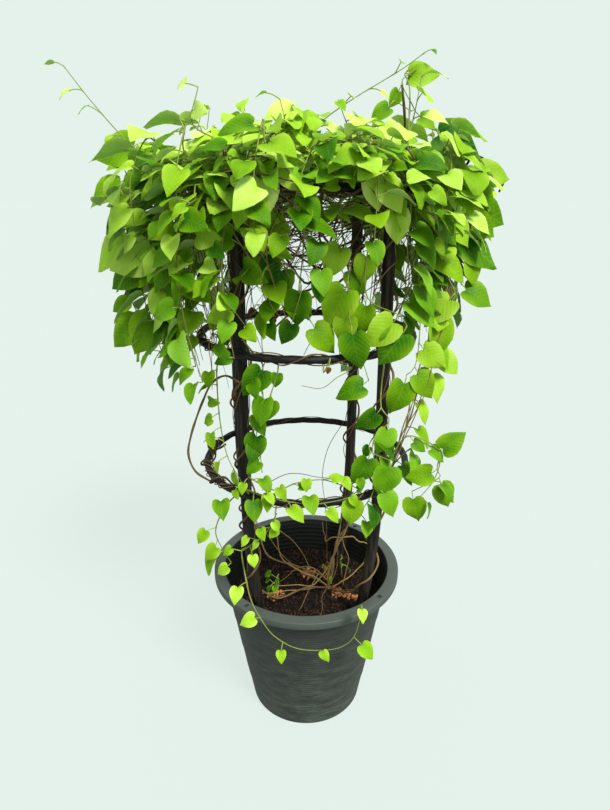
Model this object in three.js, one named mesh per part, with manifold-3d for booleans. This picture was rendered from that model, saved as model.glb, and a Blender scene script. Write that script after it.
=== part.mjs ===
// Potted jacquemontia: a twining vine over a frame of four posts and three hoops,
// rooted in a ribbed nursery pot.
// Millimetres, +Z up. The origin is the centre of the pot's underside, on the ground.
import * as THREE from 'three';
import { mergeVertices } from 'three/addons/utils/BufferGeometryUtils.js';
import Module from 'manifold-3d';

const wasm = await Module();
wasm.setup();

// Clearance between pieces that touch on the real plant
const gap = 0.35;

// Pot: the outer wall's radius grows evenly with height, under a flanged rim with a skirt
const pot = {
  height: 251,
  baseRadius: 92.3,
  slope: 0.17,
  wall: 2.8,
  floor: 3.2,
  footChamfer: 2,
  rimRadius: 150,
  rimThick: 2.6,
  skirtDrop: 11,
  ribs: 3,
  ribStep: 0.8,
  ribFirst: 50,
  ribPitch: 60,
  sides: 32,
  holeSides: 6,
  drainHoles: 5,
  drainCircle: 66,
  drainRadius: 5,
  hangerHoles: 4,
  hangerCircle: 141,
  hangerRadius: 2.5,
  hangerAzimuth: -39,
};

// Soil: fills the pot to this height, a little higher in the middle
const soil = { edge: 196, middle: 201, rings: 3, holeTop: 210 };

// Posts: height and distance from the middle at each bend, feet leaning in to fit the pot
const post = {
  radius: 8,
  sides: 8,
  azimuths: { front_left: 232, front_right: 318, back_right: 55, back_left: 145 },
  bends: [[60, 84], [198, 108], [251, 118], [340, 129.7], [443, 134.9], [636, 134.9], [845, 134.9]],
};

// Hoops round the outside of the posts
const hoop = { radius: 150, tube: 5.5, heights: [443, 636, 828], sides: 24, tubeSides: 6 };

// Woody stems: three-sided tubes that twine round the frame
const wood = { radius: 2, sides: 3, hug: 13, pitch: 96.5, stepsPerTurn: 5 };
const rootCrown = {
  x: 38, y: -4, top: 206, bottom: 158, radius: 5.5, sides: 6, holeRadius: 7.5, holeSides: 8,
};
const stemRoot = new THREE.Vector3(rootCrown.x, rootCrown.y, rootCrown.top - 2 * wood.radius);

// Leaf blade: the outline's corners, as shares of its width across and of its length along, for
// large and small leaves, and its thickness
const blade = {
  large: [[0.27, -0.12], [0.5, 0.2], [0.36, 0.58]],
  small: [[0.38, -0.08], [0.45, 0.36]],
  largeFrom: 43,
  widthShare: 0.86,
  thick: 0.8,
  notchHalf: 0.9,
  fold: 0.26,
  droop: 0.26,
};
// How wide half the blade is, as a share of its width, at steps along its length
const bladeRows = [
  [-0.08, 0.33], [0.1, 0.47], [0.28, 0.5], [0.46, 0.43], [0.64, 0.3], [0.82, 0.13], [1, 0],
];
const bladeColumns = [-1, -0.5, 0, 0.5, 1];

// Green shoots: stem size, stalk length, the straight start, the share of its size that the last
// leaf has, and how often a leaf and a crown shoot are tried
const shoot = {
  radius: 1.6,
  taper: 0.35,
  nodeHalf: 0.8,
  stalk: [11, 17],
  spring: 10,
  lastLeaf: 0.7,
  leafTries: 14,
  tries: 60,
};

// Balls of room: what each kind of piece claims past its own size, and how far apart they are
const room = {
  carrier: 1,
  post: 7,
  hoop: 6,
  wood: 5,
  stem: 4,
  stemBall: 2.4,
  stalkBall: 1.2,
  bladeBall: 3.8,
  rootBalls: 3,
};

// How blades hang: each pair is a value at the crown's top and what the side of the crown adds
const hang = {
  faceOut: [0.3, 0.35],
  faceUp: [1, -0.4],
  pointOut: [0.95, -0.25],
  pointUp: [-0.2, -0.42],
  followStem: 0.25,
  tilt: [-0.35, 0.35],
  turnAside: 0.5,
  turn: [-0.8, 0.8],
  roll: [-0.5, 0.5],
  stalkAside: 0.7,
  stalkUp: 0.5,
};

// Crown: its middle leans a little to the left, and its top is where blades lie flattest
const crown = { x: -14, y: 0, top: 880, fall: 170, bunch: 14, flat: 28, jitter: 13 };
const firstKindSeed = 100;

const colours = {
  pot: [0x3c413e, 0.62],
  soil: [0x33231a, 1.0],
  post: [0x2b2a2e, 0.55],
  hoop: [0x222326, 0.5],
  wood: [0x6d5233, 0.85],
  light: [0x8fca2c, 0.5],
  mid: [0x63a81c, 0.5],
  deep: [0x35750f, 0.5],
};

function finish(name) {
  const [color, roughness] = colours[name];
  return new THREE.MeshStandardMaterial({ color, roughness, metalness: 0 });
}

const up = new THREE.Vector3(0, 0, 1);
const radians = THREE.MathUtils.degToRad;
const vector = ([x, y, z]) => new THREE.Vector3(x, y, z);

function polar(radius, degrees, z) {
  return new THREE.Vector3(radius * Math.cos(radians(degrees)), radius * Math.sin(radians(degrees)), z);
}

// A run of even random draws from a seed, by a linear congruence
function seededDraw(seed) {
  let state = seed;
  return (low, high) => {
    state = (state * 1664525 + 1013904223) % 4294967296;
    return low + (high - low) * state / 4294967296;
  };
}

// A three.js geometry as a solid that can be joined and cut
function solidOf(geometry) {
  const bare = geometry.clone();
  bare.deleteAttribute('normal');
  bare.deleteAttribute('uv');
  const merged = mergeVertices(bare, 1e-3);
  return new wasm.Manifold(new wasm.Mesh({
    numProp: 3,
    vertProperties: new Float32Array(merged.attributes.position.array),
    triVerts: new Uint32Array(merged.index.array),
  }));
}

function geometryOf(solid) {
  const mesh = solid.getMesh();
  const geometry = new THREE.BufferGeometry();
  geometry.setAttribute('position', new THREE.BufferAttribute(mesh.vertProperties, 3));
  geometry.setIndex(new THREE.BufferAttribute(mesh.triVerts, 1));
  geometry.computeVertexNormals();
  return geometry;
}

const joined = (solids) => solids.reduce((whole, next) => whole.add(next));

// A path that puts a tube's sections exactly at the given points
class StationPath extends THREE.Curve {
  constructor(points) {
    super();
    this.points = points;
  }

  indexAt(share) {
    return Math.round(share * (this.points.length - 1));
  }

  getPointAt(share) {
    return this.points[this.indexAt(share)].clone();
  }

  getTangentAt(share) {
    const index = this.indexAt(share);
    const before = this.points[Math.max(index - 1, 0)];
    const after = this.points[Math.min(index + 1, this.points.length - 1)];
    return after.clone().sub(before).normalize();
  }
}

// A tube with a regular section and closed ends along a list of points
function tube(points, radius, sides) {
  const section = new THREE.Shape();
  for (let side = 0; side < sides; side += 1) {
    const turn = 2 * Math.PI * side / sides;
    const x = radius * Math.cos(turn);
    const y = radius * Math.sin(turn);
    if (side === 0) section.moveTo(x, y);
    else section.lineTo(x, y);
  }
  return solidOf(new THREE.ExtrudeGeometry(section, {
    extrudePath: new StationPath(points),
    steps: points.length - 1,
    bevelEnabled: false,
  }));
}

// An upright cylinder between two heights
function upright(x, y, low, high, radius, sides) {
  return tube([new THREE.Vector3(x, y, low), new THREE.Vector3(x, y, high)], radius, sides);
}

// Evenly spaced points on a smooth curve through the given points
function spaced(points, steps) {
  return new THREE.CatmullRomCurve3(points, false, 'catmullrom', 0.5).getSpacedPoints(steps);
}

// Room already taken, as balls of position and radius
const taken = [];

function isClear(balls, pastCarriers = 0) {
  return balls.every((ball) => {
    for (let index = pastCarriers; index < taken.length; index += 1) {
      const other = taken[index];
      const reach = ball.radius + other.radius;
      if (ball.centre.distanceToSquared(other.centre) < reach * reach) return false;
    }
    return true;
  });
}

// Balls along a line of points, no further apart than the spacing
function ballsAlong(points, radius, spacing) {
  const balls = [];
  for (let index = 1; index < points.length; index += 1) {
    const count = Math.ceil(points[index].distanceTo(points[index - 1]) / spacing);
    for (let step = 0; step < count; step += 1) {
      balls.push({ centre: points[index - 1].clone().lerp(points[index], step / count), radius });
    }
  }
  balls.push({ centre: points[points.length - 1].clone(), radius });
  return balls;
}

const outerWall = (z) => pot.baseRadius + pot.slope * z;
const innerWall = (z) => outerWall(z) - pot.wall;

function makePot() {
  const foot = pot.footChamfer;
  const profile = [[0, 0], [pot.baseRadius - foot, 0], [outerWall(foot), foot]];
  for (let rib = 0; rib < pot.ribs; rib += 1) {
    const z = pot.ribFirst + rib * pot.ribPitch;
    profile.push([outerWall(z), z], [outerWall(z) + pot.ribStep, z + pot.ribStep]);
  }
  const underRim = pot.height - pot.rimThick;
  const skirtInside = pot.rimRadius - pot.rimThick;
  profile.push(
    [outerWall(underRim), underRim],
    [skirtInside, underRim],
    [skirtInside, pot.height - pot.skirtDrop],
    [pot.rimRadius, pot.height - pot.skirtDrop],
    [pot.rimRadius, pot.height],
    [innerWall(pot.height), pot.height],
    [innerWall(pot.floor), pot.floor],
    [0, pot.floor],
  );
  const points = profile.map(([x, y]) => new THREE.Vector2(x, y));
  let body = solidOf(new THREE.LatheGeometry(points, pot.sides).rotateX(Math.PI / 2));
  for (let hole = 0; hole < pot.drainHoles; hole += 1) {
    const at = polar(pot.drainCircle, 360 * hole / pot.drainHoles, 0);
    body = body.subtract(upright(at.x, at.y, -1, pot.floor + 1, pot.drainRadius, pot.holeSides));
  }
  for (let hole = 0; hole < pot.hangerHoles; hole += 1) {
    const at = polar(pot.hangerCircle, pot.hangerAzimuth + 360 * hole / pot.hangerHoles, 0);
    const [low, high] = [underRim - 1, pot.height + 1];
    body = body.subtract(upright(at.x, at.y, low, high, pot.hangerRadius, pot.holeSides));
  }
  return body;
}

// How far a post's centre is from the middle at a height, straight between its bends
function postReach(z) {
  const next = post.bends.findIndex(([height]) => height >= z);
  const [lowZ, lowReach] = post.bends[Math.max(next - 1, 0)];
  const [highZ, highReach] = post.bends[Math.max(next, 1)];
  return lowReach + (highReach - lowReach) * (z - lowZ) / (highZ - lowZ);
}

const postPoints = (azimuth) => post.bends.map(([z, reach]) => polar(reach, azimuth, z));

function makeSoil(holes) {
  const bottom = pot.floor + gap;
  const profile = [[0, bottom], [innerWall(bottom) - gap, bottom], [innerWall(soil.edge) - gap, soil.edge]];
  for (let ring = soil.rings - 1; ring >= 0; ring -= 1) {
    const share = ring / soil.rings;
    profile.push([innerWall(soil.edge) * share, soil.middle - (soil.middle - soil.edge) * share ** 2]);
  }
  const points = profile.map(([x, y]) => new THREE.Vector2(x, y));
  const body = solidOf(new THREE.LatheGeometry(points, pot.sides).rotateX(Math.PI / 2));
  return holes.reduce((left, hole) => left.subtract(hole), body);
}

function makeHoop(z) {
  return new THREE.TorusGeometry(hoop.radius, hoop.tube, hoop.tubeSides, hoop.sides).translate(0, 0, z);
}

// A strand that winds up a post, nearest the middle of the frame where it passes each hoop
function postTwine(azimuth, low, high) {
  const steps = Math.round((high - low) / wood.pitch * wood.stepsPerTurn);
  const points = [];
  for (let step = 0; step <= steps; step += 1) {
    const z = low + (high - low) * step / steps;
    const turn = Math.PI + 2 * Math.PI * (z - hoop.heights[0]) / wood.pitch;
    const centre = polar(postReach(z), azimuth, z);
    const outward = polar(wood.hug * Math.cos(turn), azimuth, 0);
    const sideways = polar(wood.hug * Math.sin(turn), azimuth + 90, 0);
    points.push(centre.add(outward).add(sideways));
  }
  return points;
}

// A point of a strand coiled round a hoop: outermost where the phase is zero
function coilPoint(height, azimuth, phase, hug) {
  const radius = hoop.radius + hug * Math.cos(radians(phase));
  return polar(radius, azimuth, height + hug * Math.sin(radians(phase)));
}

// A coil round a hoop between two azimuths, outermost at the given one
function hoopCoil(height, from, to, { outermost, turnsPerQuarter, hug, stepsPerTurn }) {
  const steps = Math.ceil((to - from) * turnsPerQuarter / 90 * stepsPerTurn);
  const points = [];
  for (let step = 0; step <= steps; step += 1) {
    const azimuth = from + (to - from) * step / steps;
    points.push(coilPoint(height, azimuth, (azimuth - outermost) * 4 * turnsPerQuarter, hug));
  }
  return points;
}

const [lowHoop, middleHoop, topHoop] = hoop.heights;
const { azimuths } = post;

// Strands up the posts, each with its arc over the soil from the root crown. They start and
// pass the hoops on the side of the post that faces the middle.
const climbs = [
  { side: 'front_left', over: [[-2, -36, 226], [-38, -60, 226]] },
  { side: 'front_right', over: [[54, -26, 212], [66, -48, 226]] },
  { side: 'back_right', over: [[44, 26, 222], [50, 58, 234]] },
  { side: 'back_left', over: [[-6, 22, 222], [-56, 40, 228]] },
];
const climb = {
  foot: lowHoop - 2 * wood.pitch, top: 810, arcSteps: 7, joinReach: 134, joinRise: 8, joinLead: 8,
};

// The wreath: a strand coiled round the top hoop
const wreath = {
  from: -4, to: 350, outermost: azimuths.front_left, turnsPerQuarter: 3, hug: 10, stepsPerTurn: 5,
};
const inwardTurn = (index) => wreath.outermost + (0.5 + index) * 90 / wreath.turnsPerQuarter;

// Strands across the top hoop: the inward coil turns that each one starts and ends at, and the
// low point between them. They leave and reach the hoop at these places.
const crossingEnds = { reach: 112, start: 786, end: 778 };
const crossings = [
  [0, 6, [4, 6, 704]],
  [1, 8, [20, 20, 722]],
  [2, 7, [24, -16, 716]],
  [3, 9, [-20, 4, 690]],
  [4, 10, [-4, -20, 744]],
  [7, 11, [-52, 40, 736]],
  [1, 4, [70, -60, 732]],
];

// Bare strands that leave the wreath: the inward coil turn each starts from, and its route
const strays = [
  [3, [[120, -50, 866], [116, -58, 902], [110, -60, 940]]],
  [4, [[146, 14, 812], [178, 8, 804], [214, -4, 866], [236, -8, 858], [256, -4, 842], [262, -4, 828],
    [252, -6, 824]]],
];

// Coils round the two lower hoops, from the post whose strand they spring from, and a loose
// loop at the left
const wraps = {
  turnsPerQuarter: 4, hug: 10, stepsPerTurn: 5, length: 66, clearOfPost: 8, inside: 128, lead: 4,
};
const leftLoop = [[-114, -96, 600], [-138, -94, 562], [-160, -92, 500], [-158, -92, 470], [-146, -90, 452]];

const stationAt = (points, z) => points.reduce((best, next) => (
  Math.abs(next.z - z) < Math.abs(best.z - z) ? next : best));

function topCoil(azimuth) {
  return coilPoint(topHoop, azimuth, (azimuth - wreath.outermost) * 4 * wreath.turnsPerQuarter, wreath.hug);
}

function makeWoodPaths() {
  const paths = [];
  const twines = {};
  for (const { side, over } of climbs) {
    const azimuth = azimuths[side];
    const twine = postTwine(azimuth, climb.foot, climb.top);
    twines[side] = twine;
    const arc = spaced([stemRoot, ...over.map(vector), twine[0], twine[1]], climb.arcSteps).slice(0, -2);
    paths.push([...arc, ...twine.slice(1)]);
    const turns = (azimuth + climb.joinLead - inwardTurn(0)) * wreath.turnsPerQuarter / 90;
    const landing = inwardTurn(Math.ceil(turns));
    const join = polar(climb.joinReach, (azimuth + landing) / 2, climb.top + climb.joinRise);
    paths.push(spaced([twine[twine.length - 1], join, topCoil(landing)], 3));
  }
  paths.push(hoopCoil(topHoop, wreath.from, wreath.to, wreath));
  for (const [start, end, middle] of crossings) {
    const [from, to] = [inwardTurn(start), inwardTurn(end)];
    const leaving = polar(crossingEnds.reach, from, crossingEnds.start);
    const arriving = polar(crossingEnds.reach, to, crossingEnds.end);
    paths.push(spaced([topCoil(from), leaving, vector(middle), arriving, topCoil(to)], 6));
  }
  const halfTurn = 90 / wraps.turnsPerQuarter / 2;
  const lowEnd = azimuths.front_left - wraps.clearOfPost;
  const lowWrap = { ...wraps, outermost: lowEnd - halfTurn };
  paths.push([...hoopCoil(lowHoop, lowEnd - wraps.length, lowEnd, lowWrap),
    polar(wraps.inside, azimuths.front_left - wraps.lead, lowHoop), stationAt(twines.front_left, lowHoop)]);
  const middleStart = azimuths.back_right + wraps.clearOfPost;
  const middleWrap = { ...wraps, outermost: middleStart - halfTurn };
  paths.push([stationAt(twines.back_right, middleHoop),
    polar(wraps.inside, azimuths.back_right + wraps.lead, middleHoop),
    ...hoopCoil(middleHoop, middleStart, middleStart + wraps.length, middleWrap)]);
  const loopEnd = coilPoint(lowHoop, lowWrap.outermost, 0, wraps.hug);
  paths.push(spaced([stationAt(twines.front_left, leftLoop[0][2]), ...leftLoop.map(vector), loopEnd], 8));
  for (const [start, route] of strays) {
    paths.push(spaced([topCoil(inwardTurn(start)), ...route.map(vector)], route.length + 1));
  }
  return paths;
}

const woodPaths = makeWoodPaths();

function makeWood() {
  const crownBase = upright(rootCrown.x, rootCrown.y, rootCrown.bottom, rootCrown.top, rootCrown.radius,
    rootCrown.sides);
  return joined([crownBase, ...woodPaths.map((points) => tube(points, wood.radius, wood.sides))]);
}

// The frame and the woody stems take their room before any leaf
for (const azimuth of Object.values(azimuths)) {
  taken.push(...ballsAlong(postPoints(azimuth), post.radius + room.carrier, room.post));
}
for (const z of hoop.heights) {
  const ring = [];
  for (let side = 0; side <= hoop.sides; side += 1) {
    ring.push(polar(hoop.radius, 360 * side / hoop.sides, z));
  }
  taken.push(...ballsAlong(ring, hoop.tube + room.carrier, room.hoop));
}
const carrierBalls = taken.length;
for (const points of woodPaths) taken.push(...ballsAlong(points, wood.radius + room.carrier, room.wood));

const shootPieces = [];

// How a leaf sits on its stem: blades face up and outward, and their tips hang more the further
// down the crown's side they are. Stalks point to alternate sides.
function leafPose(at, tangent, side, size, draw) {
  const outward = new THREE.Vector3(at.x - crown.x, at.y - crown.y, 0).normalize();
  const fall = THREE.MathUtils.clamp((crown.top - at.z) / crown.fall, 0, 1);
  const here = ([top, change]) => top + change * fall;
  const normal = outward.clone().multiplyScalar(here(hang.faceOut)).addScaledVector(up, here(hang.faceUp));
  normal.addScaledVector(outward, draw(...hang.tilt)).normalize();
  const along = outward.clone().multiplyScalar(here(hang.pointOut)).addScaledVector(up, here(hang.pointUp));
  along.addScaledVector(tangent, hang.followStem);
  along.addScaledVector(normal, -along.dot(normal)).normalize();
  along.applyAxisAngle(normal, side * hang.turnAside + draw(...hang.turn));
  normal.applyAxisAngle(along, draw(...hang.roll));
  const across = along.clone().cross(normal);
  const stalk = tangent.clone().cross(normal).multiplyScalar(side * hang.stalkAside);
  stalk.addScaledVector(normal, hang.stalkUp).addScaledVector(along, hang.stalkAside).normalize();
  const foot = at.clone().addScaledVector(stalk, draw(...shoot.stalk));
  return { at, foot, along, across, normal, stalk, size };
}

// A point of the blade: across and along are shares of its width and length
function bladePoint({ foot, along, across, normal, size }, [x, y]) {
  const wide = x * size * blade.widthShare;
  const rise = blade.fold * Math.abs(wide) - blade.droop * size * y * Math.abs(y);
  const point = foot.clone().addScaledVector(across, wide).addScaledVector(along, y * size);
  return point.addScaledVector(normal, rise);
}

function leafBalls(leaf) {
  const balls = [{ centre: leaf.at.clone().lerp(leaf.foot, 0.6), radius: room.stalkBall }];
  for (const [y, half] of bladeRows) {
    for (const column of half > 0 ? bladeColumns : [0]) {
      balls.push({ centre: bladePoint(leaf, [column * half, y]), radius: room.bladeBall });
    }
  }
  return balls;
}

// A closed skin that grows point by point and face by face
class Skin {
  constructor() {
    this.points = [];
    this.faces = [];
  }

  add(point) {
    this.points.push(point);
    return this.points.length - 1;
  }

  quad(a, b, c, d) {
    this.faces.push([a, b, c], [a, c, d]);
  }

  geometry() {
    const geometry = new THREE.BufferGeometry().setFromPoints(this.points);
    geometry.setIndex(this.faces.flat());
    geometry.computeVertexNormals();
    return geometry;
  }
}

// Adds a leaf whose stalk grows out of four corners of the stem's skin, as a thin folded plate
function addLeaf(skin, leaf, socket) {
  const { foot, across, normal, stalk } = leaf;
  const turned = across.clone().addScaledVector(stalk, -across.dot(stalk)).normalize();
  const bend = turned.clone().cross(stalk).add(normal).normalize();
  bend.multiplyScalar(blade.thick / Math.max(0.6, bend.dot(normal)));
  const flat = normal.clone().multiplyScalar(blade.thick);
  const mirror = ([x, y]) => [-x, y];
  const right = leaf.size < blade.largeFrom ? blade.small : blade.large;
  const rim = [...right, [0, 1], ...right.map(mirror).reverse()];
  const outline = [
    foot.clone().addScaledVector(across, blade.notchHalf),
    ...rim.map((share) => bladePoint(leaf, share)),
    foot.clone().addScaledVector(across, -blade.notchHalf),
  ];
  const last = outline.length - 1;
  const half = outline.map((point, index) => (index === 0 || index === last ? bend : flat));
  const upper = outline.map((point, index) => skin.add(point.clone().addScaledVector(half[index], 0.5)));
  const lower = outline.map((point, index) => skin.add(point.clone().addScaledVector(half[index], -0.5)));
  const tip = last / 2;
  const faces = [[0, tip, last]];
  for (let index = 1; index < tip; index += 1) faces.push([0, index, index + 1]);
  for (let index = tip; index < last - 1; index += 1) faces.push([last, index, index + 1]);
  for (const [a, b, c] of faces) {
    skin.faces.push([upper[a], upper[b], upper[c]], [lower[c], lower[b], lower[a]]);
  }
  for (let index = 0; index < last; index += 1) {
    skin.quad(upper[index], lower[index], lower[index + 1], upper[index + 1]);
  }
  const neck = [upper[last], upper[0], lower[0], lower[last]];
  const distance = (start) => socket.reduce((sum, corner, index) => (
    sum + skin.points[corner].distanceTo(skin.points[neck[(index + start) % 4]])), 0);
  const start = [0, 1, 2, 3].reduce((best, next) => (distance(next) < distance(best) ? next : best));
  for (let index = 0; index < 4; index += 1) {
    const next = (index + 1) % 4;
    skin.quad(socket[index], socket[next], neck[(next + start) % 4], neck[(index + start) % 4]);
  }
}

// The skin of a shoot: a tapering three-sided stem, with two close sections at each leaf's node
function shootSkin(stations, leaves, root) {
  const skin = new Skin();
  const count = stations.length - 1;
  let sideways = null;
  let before = null;
  stations.forEach((station, index) => {
    const ahead = stations[Math.min(index + 1, count)].clone();
    const tangent = index === 0 ? root : ahead.sub(stations[index - 1]).normalize();
    sideways = sideways ?? (Math.abs(tangent.z) < 0.8 ? up.clone() : new THREE.Vector3(1, 0, 0));
    sideways.addScaledVector(tangent, -sideways.dot(tangent)).normalize();
    const other = tangent.clone().cross(sideways);
    const radius = shoot.radius * (1 - shoot.taper * index / count);
    const leaf = leaves.get(index);
    const shifts = leaf ? [-shoot.nodeHalf, shoot.nodeHalf] : [0];
    shifts.forEach((shift, part) => {
      const pull = index === count ? shoot.nodeHalf : 0;
      const centre = station.clone().addScaledVector(tangent, shift - pull);
      const ring = [0, 1, 2].map((corner) => {
        const turn = 2 * Math.PI * corner / 3;
        return skin.add(centre.clone().addScaledVector(sideways, radius * Math.cos(turn))
          .addScaledVector(other, radius * Math.sin(turn)));
      });
      if (!before) skin.faces.push([ring[0], ring[2], ring[1]]);
      const facing = (corner) => {
        const middle = skin.points[ring[corner]].clone().add(skin.points[ring[(corner + 1) % 3]]);
        return leaf ? middle.multiplyScalar(0.5).sub(centre).dot(leaf.stalk) : 0;
      };
      const best = [0, 1, 2].reduce((chosen, next) => (facing(next) > facing(chosen) ? next : chosen));
      for (let corner = 0; before && corner < 3; corner += 1) {
        const next = (corner + 1) % 3;
        const face = [before[corner], before[next], ring[next], ring[corner]];
        if (part === 1 && corner === best) addLeaf(skin, leaf, face);
        else skin.quad(...face);
      }
      before = ring;
    });
  });
  skin.faces.push([before[0], before[1], before[2]]);
  return skin.geometry();
}

// A shoot: its stem through the given points, with a leaf on alternate sides at each node.
// It is left out when its stem would touch something; a leaf is left out when none of its
// tries is clear.
function growShoot({ name, shade, points, nodes, leaf, seed, bare = 1 }) {
  const draw = seededDraw(seed);
  const stations = spaced(points, nodes);
  const stemBalls = ballsAlong(stations, room.stemBall, room.stem);
  const [atRoot, beyond] = [stemBalls.slice(0, room.rootBalls), stemBalls.slice(room.rootBalls)];
  if (!isClear(atRoot, carrierBalls) || !isClear(beyond)) return false;
  taken.push(...stemBalls);
  const leaves = new Map();
  let side = draw(0, 1) < 0.5 ? 1 : -1;
  for (let node = bare; node <= nodes; node += 1) {
    const tangent = stations[Math.min(node + 1, nodes)].clone().sub(stations[node - 1]).normalize();
    const size = draw(...leaf) * (node === nodes ? shoot.lastLeaf : 1);
    for (let attempt = 0; attempt < shoot.leafTries && !leaves.has(node); attempt += 1) {
      const pose = leafPose(stations[node], tangent, side, size, draw);
      const balls = leafBalls(pose);
      if (isClear(balls)) {
        taken.push(...balls);
        leaves.set(node, pose);
      }
    }
    side = -side;
  }
  const root = points[1].clone().sub(points[0]).normalize();
  shootPieces.push({ name, shade, geometry: shootSkin(stations, leaves, root) });
  return true;
}

// The first two points of a stem that springs from a hoop: around is 0 outward and 90 upward.
// It starts over a corner or the middle of a side of the hoop's skin.
function fromHoop(level, azimuth, around) {
  const step = 180 / hoop.sides;
  const index = Math.round(azimuth / step);
  const sag = index % 2 === 0 ? 0 : hoop.radius * (1 - Math.cos(radians(step)));
  const turn = Math.round(around * hoop.tubeSides / 360) * 360 / hoop.tubeSides;
  const start = hoop.tube + gap;
  return [start, start + shoot.spring].map((hug) => coilPoint(hoop.heights[level], index * step, turn, hug)
    .sub(polar(sag, index * step, 0)));
}

// The first two points of a stem that springs from a post: around is 0 outward
function fromPost(azimuth, z, around) {
  const centre = polar(postReach(z), azimuth, z);
  const start = post.radius + gap;
  return [start, start + shoot.spring].map((reach) => centre.clone().add(polar(reach, azimuth + around, 0)));
}

// Shoots that stand out in the view from the front, placed one by one
const { front_left: frontLeft, front_right: frontRight, back_right: backRight } = azimuths;
const placedShoots = [
  {
    name: 'shoot_upper_left', shade: 'light', nodes: 7, leaf: [13, 22], seed: 11,
    points: [...fromHoop(2, 216, 60), [-177, -60, 854], [-213, -60, 880], [-252, -52, 922],
      [-284, -44, 962]],
  },
  {
    name: 'shoot_top', shade: 'light', nodes: 7, leaf: [10, 18], seed: 12,
    points: [...fromHoop(2, 263, 100), [-4, -100, 868], [13, -60, 898], [53, -50, 926], [111, -30, 960],
      [137, -30, 977]],
  },
  {
    name: 'shoot_right_top', shade: 'light', nodes: 5, leaf: [24, 36], seed: 13,
    points: [...fromHoop(2, 312, 60), [108, -110, 862], [120, -86, 898], [128, -66, 926], [132, -58, 948]],
  },
  {
    name: 'shoot_right_arch', shade: 'deep', nodes: 6, leaf: [30, 38], seed: 14,
    points: [...fromPost(frontRight, 472, -10), [132, -122, 506], [150, -140, 524], [168, -148, 508],
      [163, -150, 478], [146, -150, 452]],
  },
  {
    name: 'shoot_pot_front', shade: 'light', nodes: 6, leaf: [22, 34], seed: 15,
    points: [...fromPost(frontLeft, 350, 0), [-84, -146, 330], [-76, -158, 298], [-62, -160, 266],
      [-44, -156, 234], [-10, -152, 209], [40, -152, 209], [66, -150, 226], [75, -150, 262],
      [76, -150, 284]],
  },
  {
    name: 'shoot_low_hoop', shade: 'mid', nodes: 6, leaf: [26, 38], seed: 16,
    points: [...fromHoop(0, 242, 60), polar(160, 250, 454), polar(162, 262, 452), polar(160, 274, 448),
      polar(162, 286, 452)],
  },
  {
    name: 'shoot_left_foot', shade: 'mid', nodes: 6, leaf: [24, 36], seed: 17,
    points: [...fromPost(frontLeft, 432, -30), [-112, -138, 424], [-122, -140, 396], [-116, -134, 366],
      [-104, -134, 342]],
  },
  {
    name: 'shoot_right_foot', shade: 'deep', nodes: 6, leaf: [34, 46], seed: 18,
    points: [...fromPost(frontRight, 523, -60), [90, -126, 520], [90, -142, 490], [86, -144, 456],
      [70, -142, 424]],
  },
  {
    name: 'shoot_right_bundle', shade: 'mid', nodes: 8, leaf: [32, 48], seed: 19,
    points: [...fromHoop(2, 337, -40), [162, -66, 790], [160, -62, 740], [158, -74, 680], [156, -84, 620],
      [142, -92, 570], [132, -98, 530]],
  },
  {
    name: 'shoot_left_inner', shade: 'deep', nodes: 7, leaf: [28, 44], seed: 20,
    points: [...fromHoop(1, 246, -100), [-56, -134, 600], [-52, -132, 560], [-60, -128, 520],
      [-58, -134, 480]],
  },
  {
    name: 'shoot_back_right', shade: 'mid', nodes: 7, leaf: [30, 44], seed: 21,
    points: [...fromPost(backRight, 684, 150), [52, 74, 690], [48, 66, 650], [50, 68, 605], [56, 78, 560]],
  },
];

// Seedlings on the soil, each standing in a hole
const seedlings = [
  { name: 'seedling_left', foot: [-53, -8], lean: [8, -6], seed: 31 },
  { name: 'seedling_right', foot: [62, 34], lean: [-4, -8], seed: 32 },
];
const seedling = {
  depth: 10, height: 40, nodes: 5, leaf: [13, 18], holeRadius: 2.4, holeSides: 6, shade: 'mid', bare: 3,
};

for (const { name, foot: [x, y], lean: [dx, dy], seed } of seedlings) {
  const steps = [[0, -seedling.depth], [0, 2], [0.5, seedling.height / 2], [1, seedling.height]];
  const points = steps.map(([share, rise]) => (
    new THREE.Vector3(x + dx * share, y + dy * share, soil.edge + rise)));
  if (!growShoot({ ...seedling, name, seed, points })) console.warn('left out', name);
}

for (const { points, ...rest } of placedShoots) {
  const vectors = points.map((point) => (Array.isArray(point) ? vector(point) : point));
  if (!growShoot({ ...rest, points: vectors })) console.warn('left out', rest.name);
}

// How low the leaves hang, by azimuth
const hem = [[0, 660], [45, 715], [90, 745], [135, 690], [180, 600], [215, 590], [245, 650], [270, 735],
  [300, 690], [330, 640], [360, 660]];

function hemHeight(azimuth) {
  const turn = ((azimuth % 360) + 360) % 360;
  const next = hem.findIndex(([at], index) => index > 0 && at >= turn);
  const [lowAt, low] = hem[next - 1];
  const [highAt, high] = hem[next];
  return low + (high - low) * (turn - lowAt) / (highAt - lowAt);
}

// The crown reaches further on its left, and less at the front and the back
function extraReach(azimuth) {
  return crown.x * Math.cos(radians(azimuth)) - crown.flat * Math.sin(radians(azimuth)) ** 2;
}

// Curtains hang closer together at the left and the right than at the front and the back
const bunched = (azimuth) => azimuth - crown.bunch * Math.sin(radians(2 * azimuth));

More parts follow.
